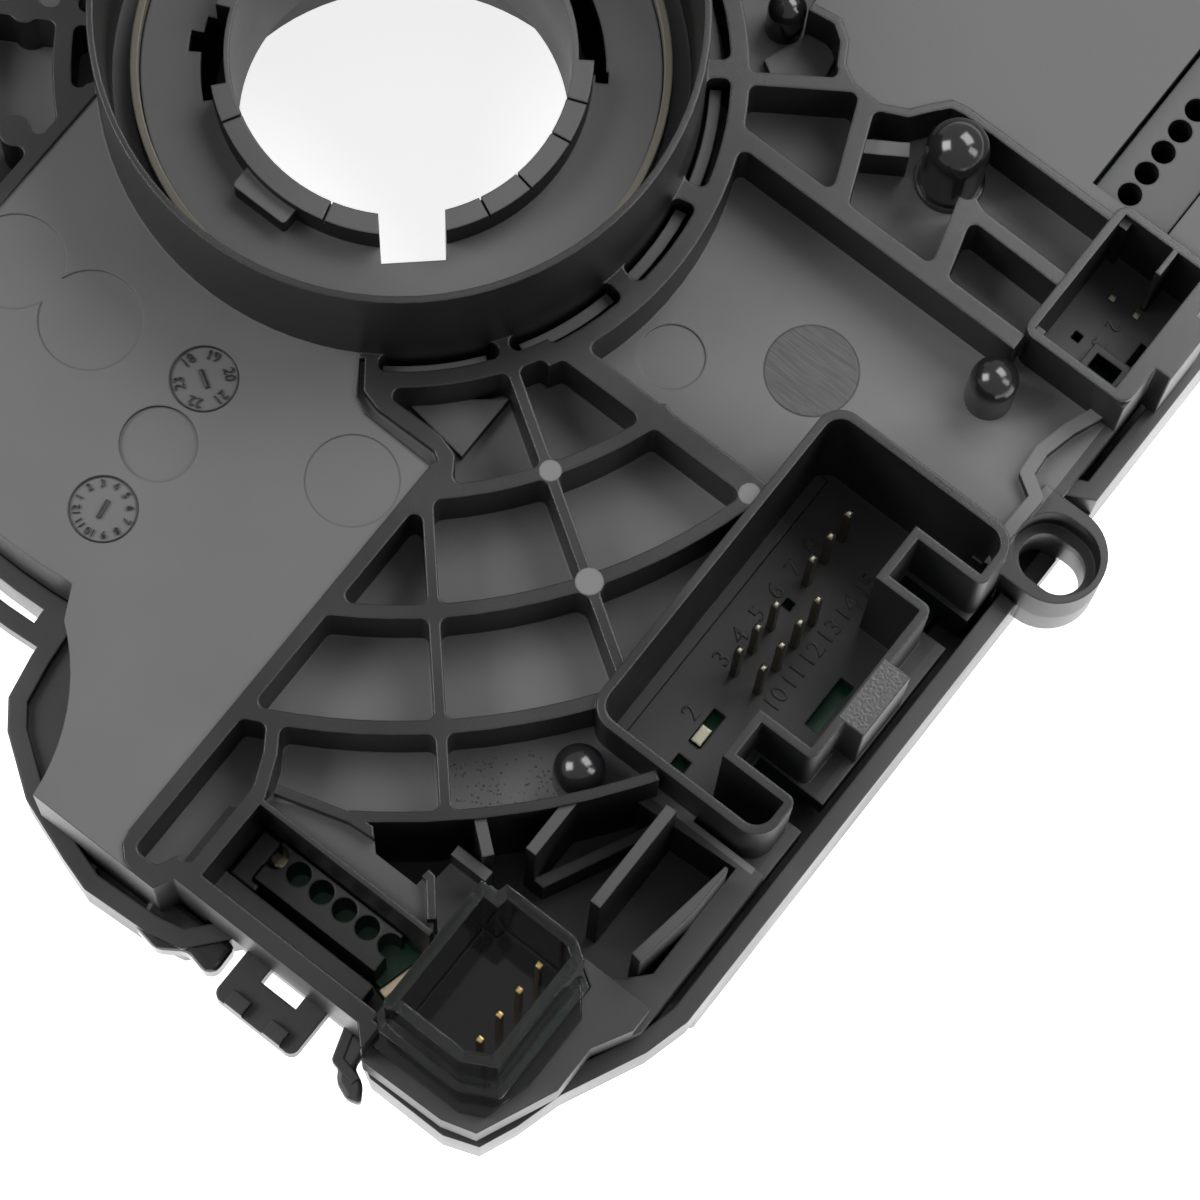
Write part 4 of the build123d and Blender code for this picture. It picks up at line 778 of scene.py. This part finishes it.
def latch_skin():
    """A finely divided plate with a rough top."""
    left, low, right, high = (value * MM for value in LATCH_BOX)
    across, along = LATCH_STEPS
    start_piece()
    bpy.ops.mesh.primitive_grid_add(x_subdivisions=across, y_subdivisions=along, size=1.0, location=(0, 0, 0))
    piece = bpy.context.object
    piece.scale = (right - left, high - low, 1)
    piece.location = ((left + right) / 2, (low + high) / 2, (SHELL_RIM_LEVEL + LATCH_ABOVE) * MM)
    apply_place()
    noise = bpy.data.textures.new("spark_grain", "CLOUDS")
    noise.noise_scale = SPARK_SIZE * MM
    rough = piece.modifiers.new("rough", "DISPLACE")
    rough.texture = noise
    rough.texture_coords = "OBJECT"
    rough.strength = SPARK_HEIGHT * MM
    rough.mid_level = 0.5
    bpy.ops.object.modifier_apply(modifier="rough")
    thick = piece.modifiers.new("thick", "SOLIDIFY")
    thick.thickness = LATCH_THICK * MM
    thick.offset = -1
    bpy.ops.object.modifier_apply(modifier="thick")
    return piece


latch = settle(latch_skin(), "latch_skin", "latch_grain")
print("latch skin faces:", len(latch.data.polygons))

# %% [markdown]
# One pocket floor has a patch of tiny pips. They are copies of one flattened ball, each with a mesh of its
# own, scattered by a fixed sequence so that each run gives the same patch.

# %% Speckled patch
SPECKLE_COUNT = 110
SPECKLE_SEED = 7
SPECKLE_ARC = (59.2, 63.6)
SPECKLE_ANGLES = (-48.6, -40.0)
PIP_R = 0.075
PIP_FLATNESS = 0.6
PIP_GROWTH = (0.6, 1.5)


def speckles():
    """Tiny flattened pips, scattered over a stretch between two arcs by a fixed sequence."""
    start_piece()
    bpy.ops.mesh.primitive_ico_sphere_add(subdivisions=2, radius=PIP_R * MM, location=(0, 0, 0))
    first = bpy.context.object
    first.scale = (1, 1, PIP_FLATNESS)
    apply_place()
    scatter = Random(SPECKLE_SEED)
    pips = []
    for _ in range(SPECKLE_COUNT):
        radius = scatter.uniform(*SPECKLE_ARC)
        angle = radians(scatter.uniform(*SPECKLE_ANGLES))
        growth = scatter.uniform(*PIP_GROWTH)
        spot = [value * MM for value in (radius * cos(angle), radius * sin(angle), POCKET_LEVEL)]
        pip = first.copy()
        pip.data = first.data.copy()
        pip.data.transform(Matrix.Scale(growth, 4))
        pip.data.transform(Matrix.Translation(spot))
        bpy.context.scene.collection.objects.link(pip)
        pips.append(pip)
    bpy.data.objects.remove(first)
    return join_pieces(pips)


settle(speckles(), "speckles", "ejector_matt")
print("speckles:", SPECKLE_COUNT)

# %% [markdown]
# At the ends of the first guide block the board shows, with a gilded terminal at each.
# A terminal is a narrow pad with rounded ends, raised a little by its solder.

# %% Terminals on the board
TERMINAL_HEIGHT = 0.35
END_ROUNDING = 0.45
END_STEPS = 6
SOLDER_INSET = 0.15
SOLDER_RISE = 0.3


def terminal(x, y, length, width, turn):
    """A bar with round ends and a narrower raised top."""
    start_piece()
    bpy.ops.mesh.primitive_cube_add(size=1.0, location=(0, 0, 0))
    bar = bpy.context.object
    bar.scale = (length * MM, width * MM, TERMINAL_HEIGHT * MM)
    apply_place()
    bpy.ops.object.mode_set(mode="EDIT")
    select_where(
        bar, "edges", lambda edge: abs(edge.verts[0].co.z - edge.verts[1].co.z) > TERMINAL_HEIGHT * 0.5 * MM,
    )
    bpy.ops.mesh.bevel(offset=width * END_ROUNDING * MM, segments=END_STEPS, affect="EDGES")
    select_where(bar, "faces", faces_up)
    bpy.ops.mesh.inset(thickness=width * SOLDER_INSET * MM)
    bpy.ops.transform.translate(value=(0, 0, TERMINAL_HEIGHT * SOLDER_RISE * MM))
    bpy.ops.object.mode_set(mode="OBJECT")
    bar.location = (x * MM, y * MM, (BOARD_LEVEL + TERMINAL_HEIGHT / 2 - SINK) * MM)
    bar.rotation_euler = (0, 0, radians(turn))
    return bar


pads = [
    terminal(47.4, -60.3, length=3.6, width=1.1, turn=75),
    terminal(32.9, -58.3, length=2.6, width=1.7, turn=20),
]
settle(join_pieces(pads), "terminals", "gilded_pad")
print("terminals:", len(pads))

# %% [markdown]
# Three small pieces stand at the lower edge. A near-black block lies over the board at the left end of the
# first guide block's opening, and under the rim are a thin hook and a wavy clip.
# Each is a flat outline: a filled circle whose corners are moved to their places, drawn out and bevelled.

# %% Edge mouldings
GUIDE_END_BLOCK = ((31.1, -62.3), (33.9, -62.3), (33.9, -61.5), (33.1, -61.5), (33.1, -57.5), (31.1, -57.5))
HOOK = (
    (46.6, -66.2), (47.4, -68.0), (49.0, -70.3), (50.5, -70.9),
    (51.7, -70.5), (50.8, -69.1), (49.4, -68.4), (49.2, -66.2),
)
CLIP = (
    (27.0, -66.6), (27.4, -70.4), (30.2, -70.9), (32.4, -69.4),
    (34.6, -69.9), (35.4, -69.2), (35.3, -66.6),
)
STEP_LOW = BOARD_LEVEL + 0.05


def plate(corners, low, high, bevel):
    """A plate through the given corners, counterclockwise from above, with bevelled edges."""
    start_piece()
    bpy.ops.mesh.primitive_circle_add(vertices=len(corners), radius=1.0, fill_type="NGON", location=(0, 0, 0))
    piece = bpy.context.object
    bpy.ops.object.mode_set(mode="EDIT")
    shape = bmesh.from_edit_mesh(piece.data)
    order = sorted(shape.verts, key=lambda vertex: atan2(vertex.co.y, vertex.co.x))
    for vertex, (x, y) in zip(order, corners):
        vertex.co = (x * MM, y * MM, low * MM)
    bmesh.update_edit_mesh(piece.data)
    bpy.ops.mesh.select_all(action="SELECT")
    bpy.ops.mesh.extrude_region_move(TRANSFORM_OT_translate={"value": (0, 0, (high - low) * MM)})
    bpy.ops.mesh.select_all(action="SELECT")
    bpy.ops.mesh.normals_make_consistent(inside=False)
    bpy.ops.mesh.bevel(offset=bevel * MM, segments=2, affect="EDGES")
    bpy.ops.object.mode_set(mode="OBJECT")
    return piece


settle(plate(GUIDE_END_BLOCK, low=STEP_LOW, high=-8.6, bevel=0.25), "guide_end_block", "mark_black")
settle(plate(HOOK, low=-11.4, high=-9.6, bevel=0.35), "edge_hook", "black_housing")
settle(plate(CLIP, low=-13.0, high=-9.9, bevel=0.5), "edge_clip", "gloss_black")
print("edge mouldings: 3")
